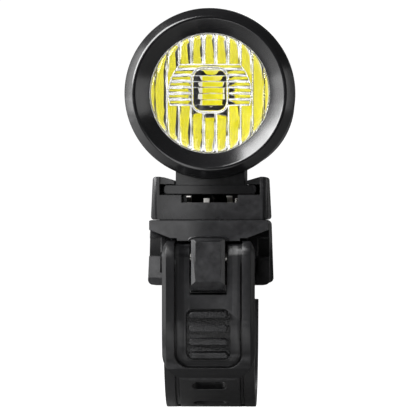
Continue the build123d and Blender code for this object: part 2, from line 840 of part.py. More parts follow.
def front_outline(top_width, top_z, bottom_width, bottom_z, top_corner_r, bottom_corner_r):
    """Keep what lies inside a front outline with sloped sides and rounded corners."""
    with BuildSketch(Plane.XZ.offset(base_foot_half * 2)) as outline:
        with BuildLine():
            Polyline(
                (-top_width / 2, top_z), (top_width / 2, top_z),
                (bottom_width / 2, bottom_z), (-bottom_width / 2, bottom_z), close=True,
            )
        make_face()
        if top_corner_r:
            fillet(outline.vertices().group_by(Axis.Z)[-1], top_corner_r)
        if bottom_corner_r:
            fillet(outline.vertices().group_by(Axis.Z)[0], bottom_corner_r)
    extrude(outline.sketch, amount=-4 * base_foot_half, mode=Mode.INTERSECT)


# Turntable: a block with the rail's slot, a notch for the spring, and a well for the latch
with BuildPart() as turntable:
    block(
        (-seam_width / 2, turntable_front_y, turntable_bottom_z),
        (seam_width / 2, turntable_rear_y, turntable_top_z),
    )
    fillet(turntable.edges().filter_by(Axis.Z), 2 * block_corner_r)
    front_outline(turntable_top_width, turntable_top_z, seam_width, turntable_bottom_z, block_corner_r, 0)
    slot_rear_y = rail_rear_y + stop_gap
    block(
        (-slot_width / 2, turntable_front_y - overrun, slot_floor_z),
        (slot_width / 2, slot_rear_y, lip_under_z),
        Mode.SUBTRACT,
    )
    block(
        (-slot_width / 2, turntable_front_y - overrun, slot_floor_z),
        (slot_width / 2, turntable_front_y + lip_set_back, turntable_top_z + overrun),
        Mode.SUBTRACT,
    )
    lip_tip_x = neck_width / 2 + moving_gap
    with BuildSketch(Plane.XZ.offset(-turntable_rear_y - overrun)):
        with BuildLine():
            Polyline(
                (-lip_tip_x, lip_under_z - overrun), (-lip_tip_x, turntable_top_z - lip_tip_drop),
                (-slot_width / 2, turntable_top_z), (-slot_width / 2, turntable_top_z + overrun),
                (slot_width / 2, turntable_top_z + overrun), (slot_width / 2, turntable_top_z),
                (lip_tip_x, turntable_top_z - lip_tip_drop), (lip_tip_x, lip_under_z - overrun), close=True,
            )
        make_face()
    extrude(amount=turntable_rear_y - turntable_front_y + 2 * overrun, mode=Mode.SUBTRACT)
    block(
        (-slot_width / 2, slot_rear_y, slot_floor_z - overrun),
        (slot_width / 2, turntable_rear_y - block_corner_r, lip_under_z),
    )
    block(
        (-notch_width / 2, turntable_front_y - overrun, notch_floor_z),
        (notch_width / 2, swivel_y, slot_floor_z + overrun),
        Mode.SUBTRACT,
    )
    block(
        (-notch_width / 2, turntable_front_y, notch_floor_z - spring_t),
        (notch_width / 2, turntable_front_y + spring_set_back - seat_gap, notch_floor_z + spring_t),
    )
    head_room_r = washer_r + moving_gap
    post(head_room_r, 0, swivel_y, washer_seat_z, slot_floor_z + overrun, Mode.SUBTRACT)
    swivel_bore_r = swivel_shaft_r + running_gap
    post(swivel_bore_r, 0, swivel_y, turntable_bottom_z - overrun, slot_floor_z, Mode.SUBTRACT)
    well_half = latch_width / 2 + moving_gap
    block(
        (-well_half, latch_well_front_y, turntable_bottom_z + latch_skin_t),
        (well_half, turntable_rear_y + overrun, slot_floor_z),
        Mode.SUBTRACT,
    )
    block(
        (-well_half, latch_skin_rear_y, turntable_bottom_z - overrun),
        (well_half, turntable_rear_y + overrun, turntable_bottom_z + latch_skin_t),
        Mode.SUBTRACT,
    )
    block(
        (-well_half, latch_well_front_y, slot_floor_z - overrun),
        (well_half, slot_rear_y, slot_floor_z + overrun),
        Mode.SUBTRACT,
    )
    latch_pin_half = latch_pin_length / 2
    cross_bar(latch_pin_r, latch_pin_y, latch_pin_z, -latch_pin_half, latch_pin_half, Mode.SUBTRACT)
keep(turntable, "turntable")

# Flat spring in the notch, whose tabs keep the rail from rattling
with BuildPart() as rail_spring:
    spring_front_y = turntable_front_y + spring_set_back
    spring_rear_y = spring_front_y + spring_length
    block(
        (-spring_width / 2, spring_front_y, notch_floor_z),
        (spring_width / 2, spring_rear_y, notch_floor_z + spring_t),
    )
    for width, place in zip(spring_tab_widths, spring_tab_places):
        block(
            (place - width / 2, spring_front_y, notch_floor_z),
            (place + width / 2, spring_front_y + spring_tab_length, notch_floor_z + spring_tab_height),
        )
    finger_bend_y = spring_rear_y - spring_finger_slope
    finger_top_z = notch_floor_z + spring_finger_height
    for width, place in zip(spring_finger_widths, spring_finger_places):
        side_plate(
            [
                (spring_front_y, finger_top_z - spring_t), (spring_front_y, finger_top_z),
                (finger_bend_y, finger_top_z), (spring_rear_y, notch_floor_z + spring_t),
                (spring_rear_y, notch_floor_z), (spring_rear_y - spring_t, notch_floor_z),
                (finger_bend_y - spring_t / 2, finger_top_z - spring_t),
            ],
            place - width / 2, place + width / 2,
        )
keep(rail_spring, "rail_spring")

# Screw, washer and nut on which the turntable swivels
with BuildPart() as swivel_washer:
    post(washer_r, 0, swivel_y, washer_seat_z, washer_seat_z + washer_t)
    post(swivel_shaft_r + seat_gap, 0, swivel_y, washer_seat_z, washer_seat_z + washer_t, Mode.SUBTRACT)
keep(swivel_washer, "swivel_washer")

with BuildPart() as swivel_screw:
    head_under_z = washer_seat_z + washer_t
    post(swivel_head_r, 0, swivel_y, head_under_z, head_under_z + swivel_head_t)
    post(swivel_shaft_r, 0, swivel_y, nut_seat_z - nut_t, head_under_z)
    with BuildSketch(Plane.XY.offset(head_under_z + swivel_head_t)):
        with Locations((0, swivel_y)):
            RegularPolygon(swivel_hex_r, 6)
    extrude(amount=-swivel_hex_depth, mode=Mode.SUBTRACT)
keep(swivel_screw, "swivel_screw")

with BuildPart() as swivel_nut:
    with BuildSketch(Plane.XY.offset(nut_seat_z - nut_t)):
        with Locations((0, swivel_y)):
            RegularPolygon(nut_width / 2, 6, major_radius=False)
            Circle(swivel_shaft_r + seat_gap, mode=Mode.SUBTRACT)
    extrude(amount=nut_t)
keep(swivel_nut, "swivel_nut")

# Latch: hinged in front, with a catch under the rail and a thumb tab behind
with BuildPart() as latch_pin:
    cross_bar(latch_pin_r, latch_pin_y, latch_pin_z, -latch_pin_half, latch_pin_half)
keep(latch_pin, "latch_pin")

with BuildPart() as latch_spring:
    block(
        (-latch_width / 2, latch_well_front_y + moving_gap, turntable_bottom_z + latch_skin_t),
        (latch_width / 2, latch_skin_rear_y, turntable_bottom_z + latch_skin_t + latch_spring_t),
    )
keep(latch_spring, "latch_spring")

with BuildPart() as release_latch:
    block((-latch_width / 2, latch_pin_y, latch_bottom_z), (latch_width / 2, latch_tail_y, latch_top_z))
    cross_bar(latch_nose_r, latch_pin_y, latch_pin_z, -latch_width / 2, latch_width / 2)
    side_plate(
        [
            (latch_tooth_y, latch_top_z - overrun),
            (latch_tooth_y, latch_tooth_top_z),
            (latch_tooth_y + latch_tooth_length / 2, latch_tooth_top_z),
            (latch_tooth_y + latch_tooth_length, latch_top_z),
            (latch_tooth_y + latch_tooth_length, latch_top_z - overrun),
        ],
        -latch_width / 2, latch_width / 2,
    )
    tail_front_y = latch_tail_y - latch_tail_length
    block(
        (-latch_tail_width / 2, tail_front_y, latch_bottom_z),
        (latch_tail_width / 2, latch_tail_y, latch_top_z + latch_tail_rise),
    )
    fillet(release_latch.edges().filter_by(Axis.Z).group_by(Axis.Y)[-1], 2 * block_corner_r)
    latch_bore_r = latch_pin_r + running_gap
    cross_bar(latch_bore_r, latch_pin_y, latch_pin_z, -latch_width, latch_width, Mode.SUBTRACT)
keep(release_latch, "release_latch")

# Roof over the lever's hinge, whose lower edge rises to a shoulder at each side
with BuildPart() as clamp_roof:
    side_plate(
        [
            (-base_top_half, roof_top_z), (roof_front_y, roof_edge_z), (roof_front_y, roof_under_z),
            (lever_pin_y, roof_under_z), (-base_top_half, lever_pin_z),
        ],
        -shoulder_width / 2, shoulder_width / 2,
    )
    with BuildSketch(Plane.XZ.offset(2 * base_foot_half)):
        with BuildLine():
            Polyline(
                (-shoulder_width / 2, base_top_z), (shoulder_width / 2, base_top_z),
                (shoulder_width / 2, shoulder_z), (roof_under_width / 2, roof_under_z),
                (roof_under_width / 2, base_bottom_z), (-roof_under_width / 2, base_bottom_z),
                (-roof_under_width / 2, roof_under_z), (-shoulder_width / 2, shoulder_z), close=True,
            )
        make_face()
    extrude(amount=-4 * base_foot_half, mode=Mode.INTERSECT)

# Stud that stands out in the middle of the roof, with bevelled front corners
with BuildPart() as clamp_stud:
    foot_z = base_bottom_z + base_foot_height
    side_plate(
        [
            (-base_top_half, roof_top_z - stud_chamfer), (roof_front_y, roof_edge_z - stud_chamfer),
            (roof_front_y, stud_top_z), (stud_front_y + stud_chamfer, stud_top_z),
            (stud_front_y, stud_top_z - stud_chamfer), (stud_front_y, stud_flat_bottom_z),
            ((stud_front_y + lever_pin_y) / 2 - stud_chamfer, stud_bottom_z + stud_chamfer),
            ((stud_front_y + lever_pin_y) / 2 + stud_chamfer, stud_bottom_z),
            (-base_foot_half, stud_bottom_z + stud_chamfer), (-base_foot_half, foot_z),
            (-base_top_half, lever_pin_z),
        ],
        -stud_width / 2, stud_width / 2,
    )
    with BuildSketch(Plane.XY.offset(base_bottom_z - 2 * stud_width)):
        with BuildLine():
            Polyline(
                (-stud_width / 2, 0), (-stud_width / 2, stud_front_y + stud_side_chamfer),
                (-stud_width / 2 + stud_side_chamfer, stud_front_y),
                (stud_width / 2 - stud_side_chamfer, stud_front_y),
                (stud_width / 2, stud_front_y + stud_side_chamfer), (stud_width / 2, 0), close=True,
            )
        make_face()
    extrude(amount=4 * base_top_z, mode=Mode.INTERSECT)

# Clamp base: a saddle block with a stud, the roof, a cheek on each side of the lever and two ears
with BuildPart() as clamp_base:
    side_plate(
        [
            (-base_top_half, base_top_z), (base_top_half, base_top_z),
            (base_foot_half, foot_z), (base_foot_half, base_bottom_z),
            (-base_foot_half, base_bottom_z), (-base_foot_half, foot_z),
        ],
        -base_bottom_width / 2, base_bottom_width / 2,
    )
    front_outline(seam_width, base_top_z, base_bottom_width, base_bottom_z, 0, base_bottom_corner_r)
    add(clamp_roof.part)
    hinge_room_r = lever_barrel_r + ridge_rise + moving_gap
    lever_room = lever_width / 2 + cheek_gap
    lever_bay_rear_y = moving_gap - lever_back_r
    cross_bar(hinge_room_r, lever_pin_y, lever_pin_z, -lever_room, lever_room, Mode.SUBTRACT)
    side_plate(
        [
            (lever_pin_y, roof_under_z), (roof_front_y - overrun, roof_under_z),
            (roof_front_y - overrun, base_bottom_z), (lever_bay_rear_y, base_bottom_z),
            (lever_bay_rear_y, lever_pin_z),
        ],
        -lever_room, lever_room, Mode.SUBTRACT,
    )
    for low_x, high_x in ((-base_bottom_width, -lever_room), (lever_room, base_bottom_width)):
        block(
            (low_x, roof_front_y - overrun, cheek_top_z),
            (high_x, -base_top_half, roof_under_z),
            Mode.SUBTRACT,
        )
    middle_half = roof_middle_width / 2
    block(
        (-middle_half, roof_front_y, roof_middle_z),
        (middle_half, lever_pin_y + roof_overhang, roof_under_z),
    )
    add(clamp_stud.part)
    lever_pin_half = lever_pin_length / 2
    cross_bar(lever_pin_r, lever_pin_y, lever_pin_z, -lever_pin_half, lever_pin_half, Mode.SUBTRACT)
    ear_inner_x = strap_eye_width / 2 + moving_gap
    for ear_low_x in (-ear_inner_x - ear_t, ear_inner_x):
        side_plate(
            [
                (base_top_half, strap_pin_z + ear_r), (strap_pin_y, strap_pin_z + ear_r),
                (strap_pin_y, strap_pin_z - ear_r), (base_top_half, strap_pin_z - ear_r),
            ],
            ear_low_x, ear_low_x + ear_t,
        )
        cross_bar(ear_r, strap_pin_y, strap_pin_z, ear_low_x, ear_low_x + ear_t)
    cross_bar(saddle_r, 0, 0, -base_bottom_width, base_bottom_width, Mode.SUBTRACT)
    strap_pin_half = strap_pin_length / 2
    cross_bar(strap_pin_r, strap_pin_y, strap_pin_z, -strap_pin_half, strap_pin_half, Mode.SUBTRACT)
    shaft_bore_r = swivel_shaft_r + seat_gap
    post(shaft_bore_r, 0, swivel_y, base_bottom_z, base_top_z + overrun, Mode.SUBTRACT)
    with BuildSketch(Plane.XY.offset(base_bottom_z)):
        with Locations((0, swivel_y)):
            RegularPolygon(nut_width / 2 + seat_gap, 6, major_radius=False)
    extrude(amount=nut_seat_z - base_bottom_z, mode=Mode.SUBTRACT)
keep(clamp_base, "clamp_base")

# Rubber pad between the saddle and the handlebar
with BuildPart() as saddle_pad:
    pad_end_angle = degrees(asin((base_bottom_z + overrun / 2) / saddle_r))
    with BuildSketch(Plane.YZ):
        with BuildLine():
            pad_outer = CenterArc((0, 0), saddle_r - seat_gap, pad_end_angle, 180 - 2 * pad_end_angle)
            pad_inner = CenterArc((0, 0), bar_r, pad_end_angle, 180 - 2 * pad_end_angle)
            Line(pad_outer @ 0, pad_inner @ 0)
            Line(pad_outer @ 1, pad_inner @ 1)
        make_face()
    extrude(amount=pad_width / 2, both=True)
keep(saddle_pad, "saddle_pad")

with BuildPart() as lever_pin:
    cross_bar(lever_pin_r, lever_pin_y, lever_pin_z, -lever_pin_half, lever_pin_half)
keep(lever_pin, "lever_pin")

with BuildPart() as strap_pin:
    cross_bar(strap_pin_r, strap_pin_y, strap_pin_z, -strap_pin_half, strap_pin_half)
keep(strap_pin, "strap_pin")

# Strap: an arc round the bar, a straight run to the eye on its pin, and a row of slots
with BuildPart() as strap:
    strap_sweep = 360 + strap_leave_angle - strap_tail_angle
    with BuildSketch(Plane.YZ):
        with BuildLine():
            strap_inner = CenterArc((0, 0), bar_r, strap_tail_angle, strap_sweep)
            strap_outer = CenterArc((0, 0), strap_r, strap_tail_angle, strap_sweep)
            Line(strap_inner @ 0, strap_outer @ 0)
            Line(strap_inner @ 1, strap_outer @ 1)
        make_face()
        run_y = -strap_run * sin(radians(strap_leave_angle))
        run_z = strap_run * cos(radians(strap_leave_angle))
        inner_end = bar_point(bar_r, strap_leave_angle)
        outer_end = bar_point(strap_r, strap_leave_angle)
        with BuildLine():
            Polyline(
                inner_end, (inner_end[0] + run_y, inner_end[1] + run_z),
                (outer_end[0] + run_y, outer_end[1] + run_z), outer_end, close=True,
            )
        make_face()
        with Locations((strap_pin_y, strap_pin_z)):
            Circle(strap_eye_r)
            Circle(strap_pin_r + running_gap, mode=Mode.SUBTRACT)
    extrude(amount=strap_width / 2, both=True)
    for side in (-1, 1):
        cut_low_x = strap_eye_width / 2 if side > 0 else -strap_width / 2 - overrun
        cut_high_x = strap_width / 2 + overrun if side > 0 else -strap_eye_width / 2
        block(
            (cut_low_x, bar_r / 2, strap_neck_z),
            (cut_high_x, strap_pin_y + 2 * strap_eye_r, strap_pin_z + 2 * strap_eye_r),
            Mode.SUBTRACT,
        )
        with BuildSketch(Plane.YZ.offset(side * strap_groove_x - strap_groove_width / 2)):
            Circle(strap_r + strap_t)
            Circle(strap_r - strap_groove_depth, mode=Mode.SUBTRACT)
            with Locations((strap_r, 0)):
                Rectangle(2 * strap_r, 4 * strap_r, mode=Mode.SUBTRACT)
        extrude(amount=strap_groove_width, mode=Mode.SUBTRACT)
    for step in range(strap_hole_count):
        hole_angle = strap_hole_first_angle + strap_hole_pitch_angle * step
        hole_y, hole_z = bar_point(bar_r, hole_angle)
        hole_plane = Plane(origin=(0, hole_y, hole_z), x_dir=(1, 0, 0), z_dir=(0, hole_y, hole_z))
        with BuildSketch(hole_plane):
            SlotOverall(strap_hole_width, strap_hole_height)
        extrude(amount=2 * strap_t, both=True, mode=Mode.SUBTRACT)
keep(strap, "strap")


def lever_section(front_r, barrel_r, low_x, high_x):
    """The lever's side outline: a barrel, a straight front and an arc along the strap."""
    end_angle = 180 + degrees(asin(-lever_end_z / front_r))
    back_end_angle = 180 + degrees(asin(-lever_end_z / lever_back_r))
    with BuildSketch(Plane.YZ.offset(low_x)) as section:
        with BuildLine():
            front_arc = CenterArc((0, 0), front_r, 180, end_angle - 180)
            back_arc = CenterArc((0, 0), lever_back_r, 180, back_end_angle - 180)
            Line(front_arc @ 1, back_arc @ 1)
            Polyline(
                front_arc @ 0, (-front_r, lever_pin_z),
                (-lever_back_r, lever_pin_z), back_arc @ 0,
            )
        make_face()
        with Locations((lever_pin_y, lever_pin_z)):
            Circle(barrel_r)
    extrude(section.sketch, amount=high_x - low_x)


def lever_layer(front_r, barrel_r, inset):
    """One layer of the lever, whose rounded lower end lies this far inside the lever's outline."""
    side_x = lever_width / 2 - inset
    end_z = lever_end_z + inset
    top_z = lever_pin_z + 2 * lever_barrel_r
    with BuildPart() as layer:
        lever_section(front_r, barrel_r, -side_x, side_x)
        with BuildSketch(Plane.XZ.offset(2 * lever_front_r)) as outline:
            with BuildLine():
                Polyline(
                    (-side_x, end_z), (side_x, end_z), (side_x, top_z), (-side_x, top_z), close=True,
                )
            make_face()
            fillet(outline.vertices().group_by(Axis.Z)[0], lever_end_corner_r - inset)
        extrude(amount=-4 * lever_front_r, mode=Mode.INTERSECT)
    return layer.part


# Lever: hinge barrels beside the stud, a raised U-shaped band with a groove inside, a ribbed pad
with BuildPart() as clamp_lever:
    half = lever_width / 2
    band_r = lever_front_r + ridge_rise
    add(lever_layer(band_r, lever_barrel_r + ridge_rise, 0))
    for side in (-1, 1):
        flank_x = side * (half - lever_edge_chamfer - overrun)
        side_x = side * (half + overrun)
        flank = [
            (flank_x, -band_r - overrun), (side_x, -band_r - overrun),
            (side_x, -band_r + lever_edge_chamfer + overrun),
        ]
        with BuildSketch() as low_flank:
            with BuildLine():
                Polyline(*flank, close=True)
            make_face()
        extrude(low_flank.sketch, amount=lever_pin_z, mode=Mode.SUBTRACT)
        revolve(low_flank.sketch, axis=Axis.X, revolution_arc=lever_flank_sweep, mode=Mode.SUBTRACT)
        with BuildSketch(Plane.XY.offset(lever_pin_z)) as top_flank:
            with BuildLine():
                Polyline(*flank, close=True)
            make_face()
        pin_axis = Axis((0, lever_pin_y, lever_pin_z), (-1, 0, 0))
        revolve(top_flank.sketch, axis=pin_axis, revolution_arc=180, mode=Mode.SUBTRACT)
    barrel_room_r = lever_barrel_r + ridge_rise + overrun
    add(lever_layer(band_r + overrun, barrel_room_r, ridge_width), mode=Mode.SUBTRACT)
    add(lever_layer(lever_front_r - ridge_groove, lever_barrel_r, ridge_width / 2))
    add(lever_layer(lever_front_r, lever_barrel_r, ridge_width + ridge_groove))
    opening_half = lever_opening_width / 2
    with BuildSketch(Plane.YZ.offset(-opening_half)):
        with Locations((lever_pin_y, lever_pin_z)):
            Circle(lever_opening_r)
    extrude(amount=lever_opening_width, mode=Mode.SUBTRACT)
    lever_bore_r = lever_pin_r + running_gap
    cross_bar(lever_bore_r, lever_pin_y, lever_pin_z, -half - overrun, half + overrun, Mode.SUBTRACT)
    recess_middle_z = (pad_recess_top_z + pad_recess_bottom_z) / 2
    with BuildSketch(Plane.XZ.offset(lever_front_r + overrun)):
        with Locations((0, recess_middle_z)):
            RectangleRounded(pad_recess_width, pad_recess_top_z - pad_recess_bottom_z, pad_recess_corner_r)
    extrude(amount=-lever_t * 4, mode=Mode.SUBTRACT)
    floor_r = lever_front_r - pad_recess_depth
    floor_top_angle = 180 - degrees(asin((pad_recess_top_z + strap_t / 2) / floor_r))
    floor_bottom_angle = 180 - degrees(asin((pad_recess_bottom_z - strap_t / 2) / floor_r))
    with BuildSketch(Plane.YZ.offset(-pad_recess_width / 2)):
        with BuildLine():
            floor_sweep = floor_bottom_angle - floor_top_angle
            floor_front = CenterArc((0, 0), floor_r, floor_top_angle, floor_sweep)
            floor_back = CenterArc((0, 0), lever_back_r, floor_top_angle, floor_sweep)
            Line(floor_front @ 0, floor_back @ 0)
            Line(floor_front @ 1, floor_back @ 1)
        make_face()
    extrude(amount=pad_recess_width)
    for step in range(rib_count):
        rib_z = rib_first_z - rib_pitch * step
        rib_angle = 180 - degrees(asin(rib_z / floor_r))
        rib_y, rib_z = bar_point(floor_r, rib_angle)
        rib_plane = Plane(origin=(0, rib_y, rib_z), x_dir=(1, 0, 0), z_dir=(0, rib_y, rib_z))
        with BuildSketch(rib_plane):
            SlotOverall(rib_width, rib_height)
        extrude(amount=rib_rise + lever_t / 4, both=True)
    peg_angle = radians(strap_hole_first_angle)
    peg_out = Plane(origin=(0, 0, 0), x_dir=(0, cos(peg_angle), sin(peg_angle)), z_dir=(1, 0, 0))
    with BuildSketch(peg_out.offset(-peg_width / 2)):
        with BuildLine():
            Polyline(
                (lever_back_r + lever_t / 2, -peg_root_half), (lever_back_r - peg_reach, -peg_tip_top),
                (lever_back_r - peg_reach, peg_root_half), (lever_back_r + lever_t / 2, peg_root_half),
                close=True,
            )
        make_face()
    extrude(amount=peg_width)
keep(clamp_lever, "clamp_lever")

os.makedirs("parts", exist_ok=True)
for label, piece in pieces.items():
    export_step(piece.part, f"parts/{label}.step")
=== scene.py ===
import math

import bmesh
import bpy
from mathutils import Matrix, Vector


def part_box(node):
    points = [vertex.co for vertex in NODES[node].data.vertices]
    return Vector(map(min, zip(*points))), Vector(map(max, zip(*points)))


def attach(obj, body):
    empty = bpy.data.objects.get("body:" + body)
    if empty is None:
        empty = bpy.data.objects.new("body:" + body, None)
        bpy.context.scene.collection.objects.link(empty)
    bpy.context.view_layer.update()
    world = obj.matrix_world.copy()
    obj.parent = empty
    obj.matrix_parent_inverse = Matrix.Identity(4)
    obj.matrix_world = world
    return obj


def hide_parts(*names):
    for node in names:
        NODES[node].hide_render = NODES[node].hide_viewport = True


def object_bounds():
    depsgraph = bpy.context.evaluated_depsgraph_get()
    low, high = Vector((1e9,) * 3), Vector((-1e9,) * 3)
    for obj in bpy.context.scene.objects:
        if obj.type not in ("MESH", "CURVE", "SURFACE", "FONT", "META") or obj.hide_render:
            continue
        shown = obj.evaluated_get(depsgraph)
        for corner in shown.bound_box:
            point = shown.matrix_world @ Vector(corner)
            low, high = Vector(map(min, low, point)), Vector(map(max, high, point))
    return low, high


bl_info = {
    "name": "Bike Headlight",
    "version": (1, 0, 0),
    "blender": (4, 5, 0),
    "location": "View3D > Sidebar > Headlight",
    "description": "Dresses a packed bike headlight and its handlebar bracket",
    "category": "Object",
}

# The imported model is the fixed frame: the boxes of its nodes place what is modelled here.
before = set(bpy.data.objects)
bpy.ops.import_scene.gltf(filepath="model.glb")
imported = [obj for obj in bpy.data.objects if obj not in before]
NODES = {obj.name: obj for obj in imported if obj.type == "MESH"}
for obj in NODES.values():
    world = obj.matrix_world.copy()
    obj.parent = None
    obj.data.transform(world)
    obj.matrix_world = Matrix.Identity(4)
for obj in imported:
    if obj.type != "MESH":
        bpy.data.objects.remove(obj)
CAD_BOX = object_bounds()
BEZEL_LOW, BEZEL_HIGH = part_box("bezel_ring")
OPTIC_LOW, OPTIC_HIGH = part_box("front_optic")
LAMP_Z = (BEZEL_LOW.z + BEZEL_HIGH.z) / 2

MM = 0.001
TURN = 2 * math.pi
MERGE_DISTANCE = 1e-7


class LampSizes(bpy.types.PropertyGroup):
    """Sizes of the lamp's ring and optic."""
    lip_radius: bpy.props.FloatProperty(
        name="Lip Radius", description="Radius of the thin lip between the chamfer and the dish",
        default=16.7 * MM, subtype="DISTANCE")
    opening_radius: bpy.props.FloatProperty(
        name="Opening Radius", description="Radius of the opening in front of the optic",
        default=13.05 * MM, subtype="DISTANCE")
    dish_depth: bpy.props.FloatProperty(
        name="Dish Depth", description="Depth of the dish from the lip to the opening",
        default=2.75 * MM, subtype="DISTANCE")
    chamfer_length: bpy.props.FloatProperty(
        name="Chamfer Length", description="Depth of the sloped outer edge",
        default=2.0 * MM, subtype="DISTANCE")
    flute_pitch: bpy.props.FloatProperty(
        name="Flute Pitch", description="Distance between two upright flutes",
        default=2.6 * MM, subtype="DISTANCE")
    flute_height: bpy.props.FloatProperty(
        name="Flute Height", description="How far an upright flute stands out",
        default=0.24 * MM, subtype="DISTANCE")
    fine_pitch: bpy.props.FloatProperty(
        name="Fine Pitch", description="Distance between two level flutes of the window",
        default=1.28 * MM, subtype="DISTANCE")
    fine_height: bpy.props.FloatProperty(
        name="Fine Height", description="How far a level flute stands out",
        default=0.26 * MM, subtype="DISTANCE")
    window_radius: bpy.props.FloatProperty(
        name="Window Radius", description="Radius of the flat-cut window in the optic",
        default=9.0 * MM, subtype="DISTANCE")
    window_top: bpy.props.FloatProperty(
        name="Window Top", description="Height of the window's top edge over the lamp's axis",
        default=6.2 * MM, subtype="DISTANCE")
    window_bottom: bpy.props.FloatProperty(
        name="Window Bottom", description="Depth of the window's lower edge under the lamp's axis",
        default=2.6 * MM, subtype="DISTANCE")


class FinishColours(bpy.types.PropertyGroup):
    """Colours of the finishes."""
    anodised: bpy.props.FloatVectorProperty(
        name="Anodised", description="Black anodised metal of the lamp's body",
        subtype="COLOR", size=3, min=0, max=1, default=(0.005, 0.005, 0.0055))
    plastic: bpy.props.FloatVectorProperty(
        name="Bracket Plastic", description="Moulded black plastic of the bracket",
        subtype="COLOR", size=3, min=0, max=1, default=(0.005, 0.005, 0.0055))
    lever: bpy.props.FloatVectorProperty(
        name="Lever Plastic", description="Moulded black plastic of the lever and latch",
        subtype="COLOR", size=3, min=0, max=1, default=(0.005, 0.005, 0.0055))
    rubber: bpy.props.FloatVectorProperty(
        name="Strap Rubber", description="Black silicone of the strap and pad",
        subtype="COLOR", size=3, min=0, max=1, default=(0.008, 0.008, 0.0085))
    glow: bpy.props.FloatVectorProperty(
        name="Emitter Yellow", description="Yellow of the emitter seen through the optic",
        subtype="COLOR", size=3, min=0, max=1, default=(0.84, 0.74, 0.012))


class StudioSettings(bpy.types.PropertyGroup):
    """Place and frame of the camera."""
    azimuth: bpy.props.FloatProperty(
        name="Camera Azimuth", description="Turn of the camera towards the object's right",
        default=math.radians(2.0), subtype="ANGLE")
    distance: bpy.props.FloatProperty(
        name="Camera Distance", description="Distance from the camera to the lamp's front",
        default=1.2, subtype="DISTANCE")
    frame_width: bpy.props.FloatProperty(
        name="Frame Width", description="Width that the picture takes in at the lamp's front",
        default=90.0 * MM, subtype="DISTANCE")
    aim_x: bpy.props.FloatProperty(
        name="Aim X", description="Sideways place of the picture's centre",
        default=-0.28 * MM, subtype="DISTANCE")
    aim_z: bpy.props.FloatProperty(
        name="Aim Z", description="Height of the picture's centre",
        default=24.2 * MM, subtype="DISTANCE")


# Shader nodes

def place_node(tree, kind, links=None, **values):
    """Add a shader node with its own settings, socket values and incoming links."""
    node = tree.nodes.new(kind)
    for key, value in values.items():
        if hasattr(node, key):
            setattr(node, key, value)
        else:
            node.inputs[key].default_value = value
    for socket, source in (links or {}).items():
        tree.links.new(source, node.inputs[socket])
    return node


def maths(tree, operation, first, second=None, clamp=False):
    """A math node on sockets or numbers."""
    node = tree.nodes.new("ShaderNodeMath")
    node.operation = operation
    node.use_clamp = clamp
    for slot, value in enumerate((first, second)):
        if value is None:
            continue
        if isinstance(value, (int, float)):
            node.inputs[slot].default_value = value
        else:
            tree.links.new(value, node.inputs[slot])
    return node.outputs[0]


def root_of_squares(tree, first, second):
    """The root of the sum of two values' squares."""
    squares = [maths(tree, "MULTIPLY", value, value) for value in (first, second)]
    return maths(tree, "SQRT", maths(tree, "ADD", *squares))


def blend_colours(tree, factor, first, second):
    """A colour mix; each colour is a socket or a tuple."""
    node = tree.nodes.new("ShaderNodeMix")
    node.data_type = "RGBA"
    for slot, value in ((0, factor), (6, first), (7, second)):
        if isinstance(value, tuple):
            node.inputs[slot].default_value = (*value, 1)
        else:
            tree.links.new(value, node.inputs[slot])
    return node.outputs[2]


def ramp(tree, value, low, high, start=0.0, end=1.0):
    """A change from start to end as a value goes from low to high, level beyond them."""
    node = place_node(tree, "ShaderNodeMapRange", {"Value": value})
    limits = {"From Min": low, "From Max": high, "To Min": start, "To Max": end}
    for label, limit in limits.items():
        node.inputs[label].default_value = limit
    return node.outputs[0]


def object_place(tree):
    """The place on the object, in its own axes."""
    return tree.nodes.new("ShaderNodeTexCoord").outputs["Object"]


def split_place(tree, place):
    """The three parts of a place."""
    return place_node(tree, "ShaderNodeSeparateXYZ", {0: place}).outputs


def ray_kinds(tree):
    """Two sockets: camera rays, and rays that the object mirrors or bends."""
    rays = tree.nodes.new("ShaderNodeLightPath").outputs
    turned = maths(tree, "ADD", rays["Is Glossy Ray"], rays["Is Transmission Ray"], clamp=True)
    return rays["Is Camera Ray"], turned


def new_group(name, inputs, outputs):
    """An empty shader node group with named sockets: its tree, given and resulting ends."""
    tree = bpy.data.node_groups.new(name, "ShaderNodeTree")
    for label, kind, value in inputs:
        socket = tree.interface.new_socket(label, in_out="INPUT", socket_type=kind)
        socket.default_value = value
    for label, kind in outputs:
        tree.interface.new_socket(label, in_out="OUTPUT", socket_type=kind)
    given = tree.nodes.new("NodeGroupInput").outputs
    return tree, given, tree.nodes.new("NodeGroupOutput").inputs


# Shared effects: noise scales are per metre, sizes in metres

BROAD_SCALE = 140.0
WEAR_SCALE = 700.0
# How strongly the broad noise moves the roughness and the colour's value
ROUGHNESS_SWING, VALUE_SWING = 2.0, 5.0
# Pointiness at which edge wear begins and is full
WEAR_START, WEAR_FULL = 0.52, 0.62


